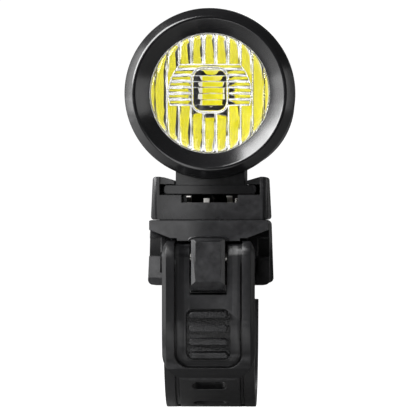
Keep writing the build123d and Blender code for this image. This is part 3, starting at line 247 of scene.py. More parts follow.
def build_grain_group():
    """Moulded or blasted grain: a height, and a roughness and a colour that vary a little."""
    tree, given, result = new_group(
        "Surface Grain",
        [("Colour", "NodeSocketColor", (0.02, 0.02, 0.02, 1)),
         ("Roughness", "NodeSocketFloat", 0.4),
         ("Grain Size", "NodeSocketFloat", 6000.0), ("Variation", "NodeSocketFloat", 0.06)],
        [("Colour", "NodeSocketColor"), ("Roughness", "NodeSocketFloat"),
         ("Height", "NodeSocketFloat")])
    place = object_place(tree)
    fine = place_node(
        tree, "ShaderNodeTexNoise", {"Vector": place, "Scale": given["Grain Size"]}, Detail=3.0)
    broad = place_node(
        tree, "ShaderNodeTexNoise", {"Vector": place}, Scale=BROAD_SCALE, Detail=4.0)
    centred = maths(tree, "SUBTRACT", broad.outputs[0], 0.5)
    swing = maths(tree, "MULTIPLY", centred, given["Variation"])
    rough_swing = maths(tree, "MULTIPLY", swing, ROUGHNESS_SWING)
    tree.links.new(maths(tree, "ADD", given["Roughness"], rough_swing), result["Roughness"])
    lift = maths(tree, "ADD", 1.0, maths(tree, "MULTIPLY", swing, VALUE_SWING))
    tint = place_node(
        tree, "ShaderNodeHueSaturation", {"Color": given["Colour"], "Value": lift})
    tree.links.new(tint.outputs[0], result["Colour"])
    tree.links.new(fine.outputs[0], result["Height"])
    return tree


def build_lathe_group():
    """Fine turning marks round the lamp's axis, from the depth along it and the radius."""
    tree, given, result = new_group(
        "Turning Marks",
        [("Pitch", "NodeSocketFloat", 9000.0), ("Axis Height", "NodeSocketFloat", 0.05)],
        [("Height", "NodeSocketFloat")])
    parts = split_place(tree, object_place(tree))
    height = maths(tree, "SUBTRACT", parts[2], given["Axis Height"])
    radius = root_of_squares(tree, parts[0], height)
    along = place_node(tree, "ShaderNodeCombineXYZ", {0: parts[1], 1: radius}).outputs[0]
    marks = place_node(
        tree, "ShaderNodeTexNoise", {"Vector": along, "Scale": given["Pitch"]}, Detail=2.0)
    tree.links.new(marks.outputs[0], result["Height"])
    return tree


def build_wear_group():
    """Light edge wear: a mask where the surface turns sharply, broken up by noise."""
    tree, given, result = new_group(
        "Edge Wear",
        [("Amount", "NodeSocketFloat", 0.5)],
        [("Mask", "NodeSocketFloat")])
    pointiness = tree.nodes.new("ShaderNodeNewGeometry").outputs["Pointiness"]
    broken = place_node(
        tree, "ShaderNodeTexNoise", {"Vector": object_place(tree)}, Scale=WEAR_SCALE, Detail=5.0)
    edge = ramp(tree, pointiness, WEAR_START, WEAR_FULL)
    mask = maths(tree, "MULTIPLY", edge, broken.outputs[0])
    tree.links.new(maths(tree, "MULTIPLY", mask, given["Amount"]), result["Mask"])
    return tree


def build_stipple_group():
    """Fine pits on the lever's finger pad: a height that ends at the pad's outline."""
    tree, given, result = new_group(
        "Pad Stipple",
        [("Half Width", "NodeSocketFloat", 4.7 * MM), ("Top", "NodeSocketFloat", 2.5 * MM),
         ("Bottom", "NodeSocketFloat", -8.4 * MM), ("Pitch", "NodeSocketFloat", 2600.0)],
        [("Height", "NodeSocketFloat")])
    place = object_place(tree)
    parts = split_place(tree, place)
    across = maths(tree, "LESS_THAN", maths(tree, "ABSOLUTE", parts[0]), given["Half Width"])
    below = maths(tree, "LESS_THAN", parts[2], given["Top"])
    above = maths(tree, "GREATER_THAN", parts[2], given["Bottom"])
    inside = maths(tree, "MULTIPLY", across, maths(tree, "MULTIPLY", below, above))
    pits = place_node(tree, "ShaderNodeTexVoronoi", {"Vector": place, "Scale": given["Pitch"]})
    tree.links.new(maths(tree, "MULTIPLY", pits.outputs["Distance"], inside), result["Height"])
    return tree


def build_dish_group():
    """The shallow dish round the lever's finger pad: a height that rises at its outline."""
    tree, given, result = new_group(
        "Panel Dish",
        [("Half Width", "NodeSocketFloat", 6.3 * MM), ("Half Height", "NodeSocketFloat", 15.0 * MM),
         ("Middle", "NodeSocketFloat", 4.9 * MM), ("Corner", "NodeSocketFloat", 3.0 * MM),
         ("Slope Width", "NodeSocketFloat", 1.1 * MM)],
        [("Height", "NodeSocketFloat")])
    parts = split_place(tree, object_place(tree))
    lift = maths(tree, "SUBTRACT", parts[2], given["Middle"])
    over = []
    for part, half in ((parts[0], "Half Width"), (lift, "Half Height")):
        beyond = maths(tree, "SUBTRACT", maths(tree, "ABSOLUTE", part), given[half])
        over.append(maths(tree, "ADD", beyond, given["Corner"]))
    outside = root_of_squares(tree, *(maths(tree, "MAXIMUM", value, 0.0) for value in over))
    inner = maths(tree, "MINIMUM", maths(tree, "MAXIMUM", *over), 0.0)
    distance = maths(tree, "SUBTRACT", maths(tree, "ADD", outside, inner), given["Corner"])
    slope = maths(tree, "DIVIDE", distance, given["Slope Width"])
    tree.links.new(maths(tree, "ADD", slope, 1.0, clamp=True), result["Height"])
    return tree


GROUP_BUILDERS = {
    "grain": build_grain_group,
    "lathe": build_lathe_group,
    "wear": build_wear_group,
    "stipple": build_stipple_group,
    "dish": build_dish_group,
}
GROUPS = {}


def use_group(tree, name, **values):
    """Place a shared group, built on first use, with this material's own values."""
    if name not in GROUPS:
        GROUPS[name] = GROUP_BUILDERS[name]()
    node = tree.nodes.new("ShaderNodeGroup")
    node.node_tree = GROUPS[name]
    for label, value in values.items():
        node.inputs[label.replace("_", " ")].default_value = value
    return node


# Materials

# Depth of a bump height of one
BUMP_UNIT = 0.02 * MM
# Bump heights of the finger pad's pits and of the dish round its panel
PIT_HEIGHT, DISH_HEIGHT = 24.0, 64.0
# Turning marks: their noise scale, and the share of the grain that is left between them
TURNING_SCALE, TURNED_GRAIN = 9000.0, 0.4
WEAR_COLOUR = (0.12, 0.12, 0.125)
COAT_ROUGHNESS = 0.1
BEVEL_SAMPLES = 4
# Clear plastic: its refraction, and the scale and the added roughness of its moulding marks
CLEAR_INDEX, MARK_SCALE, MARK_ROUGHNESS = 1.49, 900.0, 0.02
# The emitter's powder: its glow, the lift of its lighter grains, its scale, roughness and bump
EMITTER_GLOW, POWDER_LIFT = 0.5, 1.25
POWDER_SCALE, POWDER_ROUGHNESS, POWDER_BUMP = 5000.0, 0.6, 0.3

# Slot, colour or the setting that holds it, roughness, grain scale, grain strength and the rest
FINISHES = (
    ("anodised_black", "anodised", 0.2, 5200.0, 0.12,
     {"wear": 0.2, "turned": True, "specular": 0.8, "bevel": 0.12 * MM}),
    ("dark_plastic", "plastic", 0.24, 4200.0, 0.25,
     {"wear": 0.3, "specular": 0.38, "bevel": 0.22 * MM}),
    ("lever_plastic", "lever", 0.34, 4600.0, 0.25,
     {"wear": 0.3, "specular": 0.29, "bevel": 0.25 * MM, "padded": True}),
    ("inner_plastic", (0.02, 0.02, 0.022), 0.5, 3800.0, 0.3, {}),
    ("silicone_black", "rubber", 0.45, 2600.0, 0.35, {"variation": 0.12}),
    ("seal_rubber", (0.012, 0.012, 0.012), 0.6, 3000.0, 0.3, {}),
    ("button_rubber", (0.014, 0.014, 0.015), 0.55, 3000.0, 0.35, {}),
    ("button_trim", (0.16, 0.16, 0.17), 0.28, 5000.0, 0.2, {"metallic": 1.0, "wear": 0.3}),
    ("steel", (0.50, 0.49, 0.47), 0.3, 3600.0, 0.25, {"metallic": 1.0, "variation": 0.12}),
    # board_white glows: painted light, so the pale parts behind the optic shine white though no
    # lamp lights them
    ("board_white", (0.78, 0.78, 0.78), 0.4, 2400.0, 0.15, {"glow": 0.7}),
    ("board_green", (0.02, 0.12, 0.05), 0.3, 1800.0, 0.3, {"coat": 0.4, "variation": 0.2}),
    ("cell_wrap", (0.03, 0.16, 0.30), 0.3, 900.0, 0.2, {"coat": 0.3}),
    ("lead_rubber", (0.35, 0.02, 0.02), 0.5, 3000.0, 0.2, {}),
)

# Slot, tint and roughness of the clear finishes
CLEAR_FINISHES = (
    ("clear_optic", (0.97, 0.98, 1.0), 0.01),
    ("clear_pipe", (0.85, 0.90, 0.95), 0.12),
)

MATERIALS = {}


def start_material(name):
    """A material with one Principled shader; returns the material, its tree and the shader."""
    material = bpy.data.materials.new(name)
    material.use_nodes = True
    tree = material.node_tree
    return material, tree, tree.nodes["Principled BSDF"]


def link_bump(tree, shader, height, strength):
    """Feed a height into the shader's normal."""
    bump = place_node(
        tree, "ShaderNodeBump", {"Height": height}, Strength=strength, Distance=BUMP_UNIT)
    tree.links.new(bump.outputs[0], shader.inputs["Normal"])
    return bump


def grained_finish(name, colour, roughness, grain_scale, strength, wear=0.0, metallic=0.0,
                   specular=0.5, coat=0.0, turned=False, variation=0.06, bevel=0.0, glow=0.0,
                   padded=False):
    """A grained finish with a little wear on its edges: plastic, metal, rubber or board."""
    material, tree, shader = start_material(name)
    grain = use_group(tree, "grain", Colour=(*colour, 1), Roughness=roughness,
                      Grain_Size=grain_scale, Variation=variation)
    shade = grain.outputs["Colour"]
    if wear:
        mask = use_group(tree, "wear", Amount=wear).outputs["Mask"]
        shade = blend_colours(tree, mask, shade, WEAR_COLOUR)
    tree.links.new(shade, shader.inputs["Base Color"])
    tree.links.new(grain.outputs["Roughness"], shader.inputs["Roughness"])
    height = grain.outputs["Height"]
    if turned:
        marks = use_group(tree, "lathe", Pitch=TURNING_SCALE, Axis_Height=LAMP_Z)
        left = maths(tree, "MULTIPLY", height, TURNED_GRAIN)
        height = maths(tree, "ADD", left, marks.outputs["Height"])
    if padded:
        for group, factor in (("stipple", PIT_HEIGHT), ("dish", DISH_HEIGHT)):
            part = use_group(tree, group).outputs["Height"]
            height = maths(tree, "ADD", height, maths(tree, "MULTIPLY", part, factor))
    bump = link_bump(tree, shader, height, strength)
    if bevel:
        edge = place_node(tree, "ShaderNodeBevel", samples=BEVEL_SAMPLES, Radius=bevel)
        tree.links.new(edge.outputs[0], bump.inputs["Normal"])
    shader.inputs["Metallic"].default_value = metallic
    shader.inputs["Specular IOR Level"].default_value = specular
    shader.inputs["Coat Weight"].default_value = coat
    shader.inputs["Coat Roughness"].default_value = COAT_ROUGHNESS
    # A glow in the finish's own colour: painted light on a part that is no lamp
    if glow:
        tree.links.new(shade, shader.inputs["Emission Color"])
        shader.inputs["Emission Strength"].default_value = glow
    return material


def clear_finish(name, tint, roughness):
    """Clear moulded plastic with faint moulding marks."""
    material, tree, shader = start_material(name)
    marks = place_node(
        tree, "ShaderNodeTexNoise", {"Vector": object_place(tree)}, Scale=MARK_SCALE, Detail=3.0)
    shade = blend_colours(tree, marks.outputs[0], tint, (1.0, 1.0, 1.0))
    tree.links.new(shade, shader.inputs["Base Color"])
    spread = maths(tree, "MULTIPLY", marks.outputs[0], MARK_ROUGHNESS)
    tree.links.new(maths(tree, "ADD", spread, roughness), shader.inputs["Roughness"])
    shader.inputs["IOR"].default_value = CLEAR_INDEX
    shader.inputs["Transmission Weight"].default_value = 1.0
    return material


def glow_finish(name, glow):
    """The emitter's phosphor: yellow with a fine powder grain and a faint glow of its own."""
    material, tree, shader = start_material(name)
    powder = place_node(
        tree, "ShaderNodeTexNoise", {"Vector": object_place(tree)}, Scale=POWDER_SCALE, Detail=4.0)
    lighter = tuple(min(1.0, part * POWDER_LIFT) for part in glow)
    shade = blend_colours(tree, powder.outputs[0], glow, lighter)
    tree.links.new(shade, shader.inputs["Base Color"])
    tree.links.new(shade, shader.inputs["Emission Color"])
    shader.inputs["Emission Strength"].default_value = EMITTER_GLOW
    shader.inputs["Roughness"].default_value = POWDER_ROUGHNESS
    link_bump(tree, shader, powder.outputs[0], POWDER_BUMP)
    return material


def make_materials(colours):
    """Every finish of the object, by the record's slot."""
    for name, colour, roughness, grain_scale, strength, rest in FINISHES:
        shade = tuple(getattr(colours, colour)) if isinstance(colour, str) else colour
        MATERIALS[name] = grained_finish(name, shade, roughness, grain_scale, strength, **rest)
    MATERIALS["emitter_yellow"] = glow_finish("emitter_yellow", tuple(colours.glow))
    for name, tint, roughness in CLEAR_FINISHES:
        MATERIALS[name] = clear_finish(name, tint, roughness)


# Meshes

# Angle in degrees above which an edge of a modelled piece stays sharp
SHARP_ANGLE = 40.0
# How much of an edge the rounding of one of its corners may take
EDGE_SHARE = 0.45
# Soft pieces: the strength and the rounds of smoothing after the remesh
EASE_FACTOR, EASE_ROUNDS = 0.5, 3
# Eased nodes: the reach of the weld, and the bevel's angle in degrees and its segments
WELD_REACH, BEVEL_ANGLE, BEVEL_SEGMENTS = 1e-6, 35.0, 2


def add_object(name, bm):
    """Turn a bmesh into an object in the scene."""
    mesh = bpy.data.meshes.new(name)
    bm.to_mesh(mesh)
    bm.free()
    piece = bpy.data.objects.new(name, mesh)
    bpy.context.scene.collection.objects.link(piece)
    return piece


def mesh_piece(name, bm, body, material, smooth=SHARP_ANGLE):
    """Turn a bmesh into a piece that rides on a body, smooth below an angle in degrees."""
    bmesh.ops.recalc_face_normals(bm, faces=bm.faces)
    limit = math.radians(smooth)
    for face in bm.faces:
        face.smooth = True
    for edge in bm.edges:
        if len(edge.link_faces) == 2 and edge.calc_face_angle(0) > limit:
            edge.smooth = False
    piece = add_object(name, bm)
    piece.data.materials.append(MATERIALS[material])
    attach(piece, body)
    return piece


def lathe(outline, segments):
    """Turn a closed (depth, radius) outline about the lamp's axis."""
    bm = bmesh.new()
    rings = []
    for step in range(segments):
        angle = TURN * step / segments
        side, up = math.sin(angle), math.cos(angle)
        rings.append([bm.verts.new((r * side, y, LAMP_Z + r * up)) for y, r in outline])
    count = len(outline)
    for here, there in zip(rings, [*rings[1:], rings[0]]):
        for index in range(count):
            follow = (index + 1) % count
            bm.faces.new([here[index], here[follow], there[follow], there[index]])
    bmesh.ops.remove_doubles(bm, verts=bm.verts, dist=MERGE_DISTANCE)
    return bm


def bend(start, corner, end, share):
    """A point on the curve from start to end that a corner pulls towards itself."""
    return start.lerp(corner, share).lerp(corner.lerp(end, share), share)


def rounded(outline, radius, steps):
    """Round the corners of a closed outline, up to nearly half of each edge."""
    result = []
    count = len(outline)
    for index in range(count):
        before, here, after = (Vector(outline[(index + shift) % count]) for shift in (-1, 0, 1))
        back, ahead = before - here, after - here
        reach = min(radius, back.length * EDGE_SHARE, ahead.length * EDGE_SHARE)
        start, end = here + back.normalized() * reach, here + ahead.normalized() * reach
        result += [tuple(bend(start, here, end, step / steps)) for step in range(steps + 1)]
    return result


def smooth_path(corners, steps=10):
    """A curve through the middles of a path's edges, bent towards its corners."""
    points = [Vector(corner) for corner in corners]
    path = [points[0]]
    for before, here, after in zip(points, points[1:], points[2:]):
        start = before if before is points[0] else (before + here) / 2
        end = after if after is points[-1] else (here + after) / 2
        path += [bend(start, here, end, step / steps) for step in range(1, steps + 1)]
    return path


def bead(name, path, radius, body, material, sides=12):
    """A round bead along a path of points, closed at both ends."""
    bm = bmesh.new()
    out = Vector((0, -1, 0))
    rings = []
    for index, point in enumerate(path):
        before, after = path[max(index - 1, 0)], path[min(index + 1, len(path) - 1)]
        side = (after - before).normalized().cross(out).normalized()
        turns = [TURN * step / sides for step in range(sides)]
        rings.append([
            bm.verts.new(point + radius * (out * math.cos(turn) + side * math.sin(turn)))
            for turn in turns])
    for here, there in zip(rings, rings[1:]):
        for step in range(sides):
            follow = (step + 1) % sides
            bm.faces.new([here[step], here[follow], there[follow], there[step]])
    bm.faces.new(rings[0])
    bm.faces.new(rings[-1])
    mesh_piece(name, bm, body, material)


def moulded_copy(name, node, body, material, voxel):
    """A soft moulded piece from a node: remeshed fine, with its edges eased."""
    bm = bmesh.new()
    bm.from_mesh(NODES[node].data)
    bmesh.ops.remove_doubles(bm, verts=bm.verts, dist=MERGE_DISTANCE)
    piece = add_object(name, bm)
    remesh = piece.modifiers.new("Remesh", "REMESH")
    remesh.mode = "VOXEL"
    remesh.voxel_size = voxel
    remesh.use_smooth_shade = True
    ease = piece.modifiers.new("Ease", "SMOOTH")
    ease.factor = EASE_FACTOR
    ease.iterations = EASE_ROUNDS
    graph = bpy.context.evaluated_depsgraph_get()
    coarse_mesh = piece.data
    eased_mesh = bpy.data.meshes.new_from_object(piece.evaluated_get(graph))
    piece.modifiers.clear()
    piece.data = eased_mesh
    bpy.data.meshes.remove(coarse_mesh)
    eased_mesh.name = name
    eased_mesh.materials.clear()
    eased_mesh.materials.append(MATERIALS[material])
    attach(piece, body)
    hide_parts(node)


def soften_node(name, width):
    """Join a node's split corners and ease its edges by modifiers; its own mesh stays."""
    piece = NODES[name]
    weld = piece.modifiers.new("Join", "WELD")
    weld.merge_threshold = WELD_REACH
    bevel = piece.modifiers.new("Eased Edges", "BEVEL")
    bevel.width = width
    bevel.segments = BEVEL_SEGMENTS
    bevel.limit_method = "ANGLE"
    bevel.angle_limit = math.radians(BEVEL_ANGLE)
    bevel.harden_normals = True


def eased(value, low, high):
    """A smooth step from 0 to 1 between two values."""
    share = min(max((value - low) / (high - low), 0.0), 1.0)
    return share * share * (3 - 2 * share)


class HEADLIGHT_OT_finishes(bpy.types.Operator):
    """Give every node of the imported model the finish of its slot"""
    bl_idname = "headlight.finishes"
    bl_label = "Finishes"

    def execute(self, context):
        make_materials(context.scene.headlight_colours)
        for node in NODES.values():
            for slot in node.material_slots:
                slot.material = MATERIALS[slot.material.name.split(".")[0]]
        return {"FINISHED"}


# The front ring: its flat lip, the small facet outside the lip and the collar behind
LIP_WIDTH = 0.55 * MM
FACET_INSET, FACET_SIZE = 0.1 * MM, 0.17 * MM
COLLAR_LENGTH, COLLAR_CHAMFER = 4.75 * MM, 1.2 * MM
THREAD_RADIUS, THREAD_WALL = 15.35 * MM, 0.6 * MM
DISH_WALL = 0.8 * MM
RING_ROUNDING, ROUNDING_STEPS = 0.25 * MM, 6
RING_SEGMENTS, RING_SHARP_ANGLE = 256, 60.0


class HEADLIGHT_OT_bezel(bpy.types.Operator):
    """Turn the dished front ring with its eased lip and chamfer"""
    bl_idname = "headlight.bezel"
    bl_label = "Front Ring"

    def execute(self, context):
        sizes = context.scene.headlight_lamp
        front, rear = BEZEL_LOW.y, BEZEL_HIGH.y
        outer = (BEZEL_HIGH.z - BEZEL_LOW.z) / 2
        lip, opening = sizes.lip_radius, sizes.opening_radius
        shoulder = front + sizes.chamfer_length
        floor = front + sizes.dish_depth
        collar = rear - COLLAR_LENGTH
        bore = THREAD_RADIUS - THREAD_WALL
        outline = [
            (front, lip - LIP_WIDTH), (front, lip - FACET_INSET),
            (front + FACET_SIZE, lip + FACET_SIZE), (shoulder, outer),
            (collar - COLLAR_CHAMFER, outer), (collar, outer - COLLAR_CHAMFER),
            (collar, THREAD_RADIUS), (rear, THREAD_RADIUS), (rear, bore),
            (floor + DISH_WALL, bore), (floor + DISH_WALL, opening), (floor, opening)]
        bm = lathe(rounded(outline, RING_ROUNDING, ROUNDING_STEPS), RING_SEGMENTS)
        piece = mesh_piece("bezel_dish", bm, "lamp", "anodised_black", RING_SHARP_ANGLE)
        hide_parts("bezel_ring")
        return {"FINISHED"}


# The optic's face: its gap to the ring, its mesh, and the fall of its rim
FACE_GAP = 0.06 * MM
FACE_RINGS, OPTIC_SEGMENTS = 160, 560
FACE_TOUCH = 0.01 * MM
RIM_WIDTH, RIM_FALL, RIM_EASE = 1.3 * MM, 0.4 * MM, 0.2 * MM
OPTIC_SHARP_ANGLE = 50.0

# A flute across its pitch: the fall to its sides, and where and how deep its valley is
FLUTE_FALL, VALLEY_START, VALLEY_FALL = 0.8, 0.77, 0.6

# The window's depth, and the half width over which its edge rises
WINDOW_SINK, WINDOW_EASE = 0.5 * MM, 0.1 * MM

# The small lens in the window's middle: its rounded rectangle, its dome and its level steps
LENS_HALF_WIDTH, LENS_HALF_HEIGHT, LENS_CORNER = 4.1 * MM, 5.0 * MM, 2.6 * MM
LENS_LIFT, LENS_EASE = 0.7 * MM, 0.06 * MM
LENS_SINK, LENS_DOME = 0.15 * MM, 0.005 / MM
LENS_FLUTE_SHARE = 0.2
STEP_START, STEP_STEEPNESS = 0.9 * MM, 0.13 / MM
GROOVE_DEPTH, GROOVE_INSET, GROOVE_HALF_WIDTH = 0.22 * MM, 0.35 * MM, 0.14 * MM

# The flange that holds the optic, from the face back
FLANGE_FRONT, FLANGE_BACK, FLANGE_REACH = 1.1 * MM, 2.5 * MM, 13.0 * MM
FLANGE_CLEARANCE = 0.5 * MM

# The cavity over the emitter: its radius, and its depth at the wall and at the middle of its end
CAVITY_RADIUS, CAVITY_WALL, CAVITY_MIDDLE, CAVITY_DOME = 2.9 * MM, 6.4 * MM, 6.2 * MM, 0.2 * MM
CAVITY_STEPS = 12

# The cone that collects the light: the emitter before its end, its radii and its rays
EMITTER_INSET = 0.6 * MM
CONE_START, CONE_END = 5.0 * MM, 12.6 * MM
CONE_STEP, CONE_POINTS = 0.2 * MM, 160
RAY_LOW, RAY_HIGH, RAY_STEPS = math.radians(18), math.radians(89), 400

# The pale cup round the cone
CUP_GAP, CUP_WALL = 0.3 * MM, 0.9 * MM
CUP_INSET, CUP_FRONT, CUP_REAR, CUP_EDGE = 0.6 * MM, 0.6 * MM, 1.4 * MM, 1.5 * MM
CUP_SHOULDER, CUP_LIP, CUP_SEGMENTS = 2.5 * MM, 0.1 * MM, 128

# The dark ring round the emitter, painted shade for the shadowed gap between the optic and the
# board: its radii, and its near and far side behind the optic
SHADE_RING_INNER, SHADE_RING_OUTER = 2.5 * MM, 4.9 * MM
SHADE_RING_NEAR, SHADE_RING_FAR, SHADE_RING_SEGMENTS = 0.15 * MM, 0.55 * MM, 96


def collector_curve(source, start, end_radius):
    """The cone's side profile, which turns the emitter's rays straight ahead."""
    depth, radius = start
    curve = [start]
    while radius < end_radius and len(curve) < CONE_POINTS:
        best = None
        for step in range(RAY_STEPS + 1):
            angle = RAY_LOW + (RAY_HIGH - RAY_LOW) * step / RAY_STEPS
            dip = math.asin(math.cos(angle) / CLEAR_INDEX)
            wall_depth = source - CAVITY_RADIUS / math.tan(angle)
            miss = wall_depth - (radius - CAVITY_RADIUS) * math.tan(dip) - depth
            if best is None or abs(miss) < abs(best[0]):
                best = (miss, dip)
        slope = math.tan(math.pi / 4 - best[1] / 2)
        depth -= CONE_STEP
        radius += CONE_STEP * slope
        curve.append((depth, min(radius, end_radius)))
    return curve


def flute_rise(place, pitch, height):
    """Rise of a round flute with sharp valleys, across a row that starts at a valley."""
    side = abs(2 * ((place / pitch) % 1.0) - 1)
    valley = max(0.0, side - VALLEY_START) / (1 - VALLEY_START)
    return height * (1 - FLUTE_FALL * side * side - VALLEY_FALL * valley)


def corner_distance(x, z, half_width, half_height, corner):
    """Distance to the edge of a rectangle with rounded corners, below nought inside it."""
    over_x = abs(x) - half_width + corner
    over_z = abs(z) - half_height + corner
    outside = math.hypot(max(over_x, 0.0), max(over_z, 0.0))
    return outside + min(max(over_x, over_z), 0.0) - corner


def lens_rise(sizes, x, z, edge, level):
    """Rise of the small lens: a dome with faint level flutes, steps above and a groove."""
    lift = z - LENS_LIFT
    dome = -LENS_SINK - LENS_DOME * (x * x + lift * lift) + LENS_FLUTE_SHARE * level
    steep = STEP_STEEPNESS * max(0.0, z - STEP_START)
    dome -= steep * ((z + sizes.window_bottom) % sizes.fine_pitch)
    groove = max(0.0, 1 - abs(edge + GROOVE_INSET) / GROOVE_HALF_WIDTH)
    return dome - GROOVE_DEPTH * groove


def face_rise(sizes, x, z):
    """Rise of the optic's face: upright flutes, and in them the sunk window with its lens."""
    inside = 1.0
    for reach in (sizes.window_radius - math.hypot(x, z), sizes.window_top - z,
                  z + sizes.window_bottom):
        inside *= eased(reach, -WINDOW_EASE, WINDOW_EASE)
    upright = flute_rise(x + sizes.flute_pitch / 2, sizes.flute_pitch, sizes.flute_height)
    level = flute_rise(z + sizes.window_bottom, sizes.fine_pitch, sizes.fine_height)
    edge = corner_distance(x, z - LENS_LIFT, LENS_HALF_WIDTH, LENS_HALF_HEIGHT, LENS_CORNER)
    middle = eased(-edge, -LENS_EASE, LENS_EASE)
    around = upright * (1 - inside) + (level - WINDOW_SINK) * inside
    return around * (1 - middle) + lens_rise(sizes, x, z, edge, level) * middle


class HEADLIGHT_OT_optic(bpy.types.Operator):
    """Mould the fluted optic with its window and its cone"""
    bl_idname = "headlight.optic"
    bl_label = "Front Optic"

    def execute(self, context):
        sizes = context.scene.headlight_lamp
        front = OPTIC_LOW.y + sizes.flute_height
        back = OPTIC_HIGH.y
        face_radius = sizes.opening_radius - FACE_GAP
        flange = (OPTIC_HIGH.z - OPTIC_LOW.z) / 2
        flange_back = front + FLANGE_BACK
        curve = collector_curve(back - EMITTER_INSET, (back, CONE_START), CONE_END)
        outline = [(front, face_radius * step / FACE_RINGS) for step in range(FACE_RINGS + 1)]
        outline += [(front + FLANGE_FRONT, face_radius), (front + FLANGE_FRONT, flange)]
        outline += [(flange_back, flange), (flange_back, FLANGE_REACH)]
        cone_limit = flange_back + FLANGE_CLEARANCE
        outline += [point for point in reversed(curve) if point[0] > cone_limit]
        outline += [(back, CAVITY_RADIUS), (back - CAVITY_WALL, CAVITY_RADIUS)]
        for step in range(1, CAVITY_STEPS + 1):
            share = 1 - step / CAVITY_STEPS
            depth = back - CAVITY_MIDDLE - CAVITY_DOME * share * share
            outline.append((depth, CAVITY_RADIUS * share))
        bm = lathe(outline, OPTIC_SEGMENTS)
        for vert in bm.verts:
            x, z = vert.co.x, vert.co.z - LAMP_Z
            inset = face_radius - math.hypot(x, z)
            if vert.co.y > front + FACE_TOUCH or inset < -FACE_TOUCH:
                continue
            fall = max(0.0, 1 - inset / RIM_WIDTH)
            rim = eased(inset, -FACE_TOUCH, RIM_EASE)
            vert.co.y -= face_rise(sizes, x, z) * rim - RIM_FALL * fall * fall
        piece = mesh_piece("beam_optic", bm, "lamp", "clear_optic", OPTIC_SHARP_ANGLE)
        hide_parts("front_optic")
        self.make_cup(curve, flange_back)
        self.make_shade_ring(back)
        return {"FINISHED"}

    def make_cup(self, curve, front):
        """The pale cup that wraps the optic's cone at a small gap, in a finish that glows: painted
        light.
        """
        low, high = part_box("optic_holder")
        outer = (high.z - low.z) / 2 - CUP_INSET
        near, far = front + CUP_FRONT, high.y - CUP_REAR
        inner = [(depth, radius + CUP_GAP) for depth, radius in curve if near < depth < far]
        outline = [(low.y, inner[-1][1] + CUP_LIP), *reversed(inner)]
        outline += [(inner[0][0], inner[0][1] + CUP_WALL)]
        outline += [(high.y - CUP_EDGE, outer - CUP_SHOULDER), (high.y - CUP_EDGE, outer)]
        outline += [(low.y, outer)]
        cup = mesh_piece("optic_cup", lathe(outline, CUP_SEGMENTS), "lamp", "board_white")
        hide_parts("optic_holder")

    def make_shade_ring(self, back):
        """The dark ring on the lamp board round the emitter: painted shade for the shadowed gap
        between the optic and the board.
        """
        near, far = back + SHADE_RING_NEAR, back + SHADE_RING_FAR
        outline = [(near, SHADE_RING_INNER), (near, SHADE_RING_OUTER),
                   (far, SHADE_RING_OUTER), (far, SHADE_RING_INNER)]
        bm = lathe(outline, SHADE_RING_SEGMENTS)
        # A dark ring where the gap behind the optic lies in shade: painted shade
        mesh_piece("emitter_surround", bm, "lamp", "inner_plastic")


# Piece, the node that it copies, body, material and voxel size of each rubber part
RUBBER_PARTS = (
    ("rubber_strap", "strap", "strap", "silicone_black", 0.15 * MM),
    ("bar_pad", "saddle_pad", "clamp", "silicone_black", 0.3 * MM),
    ("soft_button", "power_button", "button", "button_rubber", 0.14 * MM),
    ("charge_flap", "port_cover", "cover", "button_rubber", 0.14 * MM),
)


class HEADLIGHT_OT_soft_parts(bpy.types.Operator):
    """Mould the rubber strap, saddle pad, button and port cover"""
    bl_idname = "headlight.soft_parts"
    bl_label = "Rubber Parts"

    def execute(self, context):
        for part in RUBBER_PARTS:
            moulded_copy(*part)
        return {"FINISHED"}


# Width in millimetres to which each node's edges are eased
EASED_EDGES = {
    "turntable": 0.2, "clamp_base": 0.34, "clamp_lever": 0.2, "mount_rail": 0.18,
    "release_latch": 0.25, "rail_spring": 0.06, "body_tube": 0.12, "rear_cap": 0.15,
    "button_ring": 0.08,
}

# The bead that arches over the stud: its corners in millimetres, its depth and its radius
ARCH_CORNERS = ((-4.25, 17.3), (-3.9, 17.95), (0.0, 18.1), (3.9, 17.95), (4.35, 17.3))
ARCH_DEPTH = -20.34 * MM
ARCH_RADIUS = 0.26 * MM


class HEADLIGHT_OT_bracket(bpy.types.Operator):
    """Ease the edges of the moulded bracket parts and the lamp's body, and lay the arch"""
    bl_idname = "headlight.bracket"
    bl_label = "Bracket"

    def execute(self, context):
        for name, width in EASED_EDGES.items():
            soften_node(name, width * MM)
        path = smooth_path([(x * MM, ARCH_DEPTH, z * MM) for x, z in ARCH_CORNERS])
        bead("arch_bead", path, ARCH_RADIUS, "clamp", "dark_plastic")
        return {"FINISHED"}


# The camera's sensor in millimetres, and the nearest distance that it sees in metres
SENSOR_WIDTH, CLIP_START = 36.0, 0.01

# The backdrop in metres: its floor's front, far and side edges, its bend and its wall
FLOOR_FRONT, FLOOR_FAR, FLOOR_SIDE = -0.10, 4.0, 4.0
BEND_RADIUS, BEND_STEPS = 0.5, 12
WALL_HEIGHT = 3.0

# How far the open strap's bend hangs under its place at rest, which the floor leaves free
STRAP_SWING = 4.6 * MM

# The paper's grain and two greys, and the dark that mirrored rays find in their place, in part
PAPER_SCALE, PAPER_ROUGHNESS = 400.0, 0.9
PAPER_DARK, PAPER_PALE = (0.38, 0.38, 0.38), (0.42, 0.42, 0.42)
MIRRORED_PAPER, MIRRORED_SHARE = (0.02, 0.02, 0.02), 0.6

# The paper's own light: low near the object, where the shadow is kept, and full farther away
NEAR_LIGHT, LIGHT_START, LIGHT_FULL = 0.72, 0.10, 0.45
# Its share for mirrored rays, from the left side of the object to the middle
LEFT_X, MIDDLE_X, LEFT_SHARE, MIDDLE_SHARE = -0.14, -0.045, 0.8, 0.04

# The room's light; rays that the object mirrors see it white behind the object, dark elsewhere
ROOM_LIGHT = 0.15
BEHIND_START, BEHIND_FULL, ELSEWHERE_TONE = 0.3, 0.8, 0.05

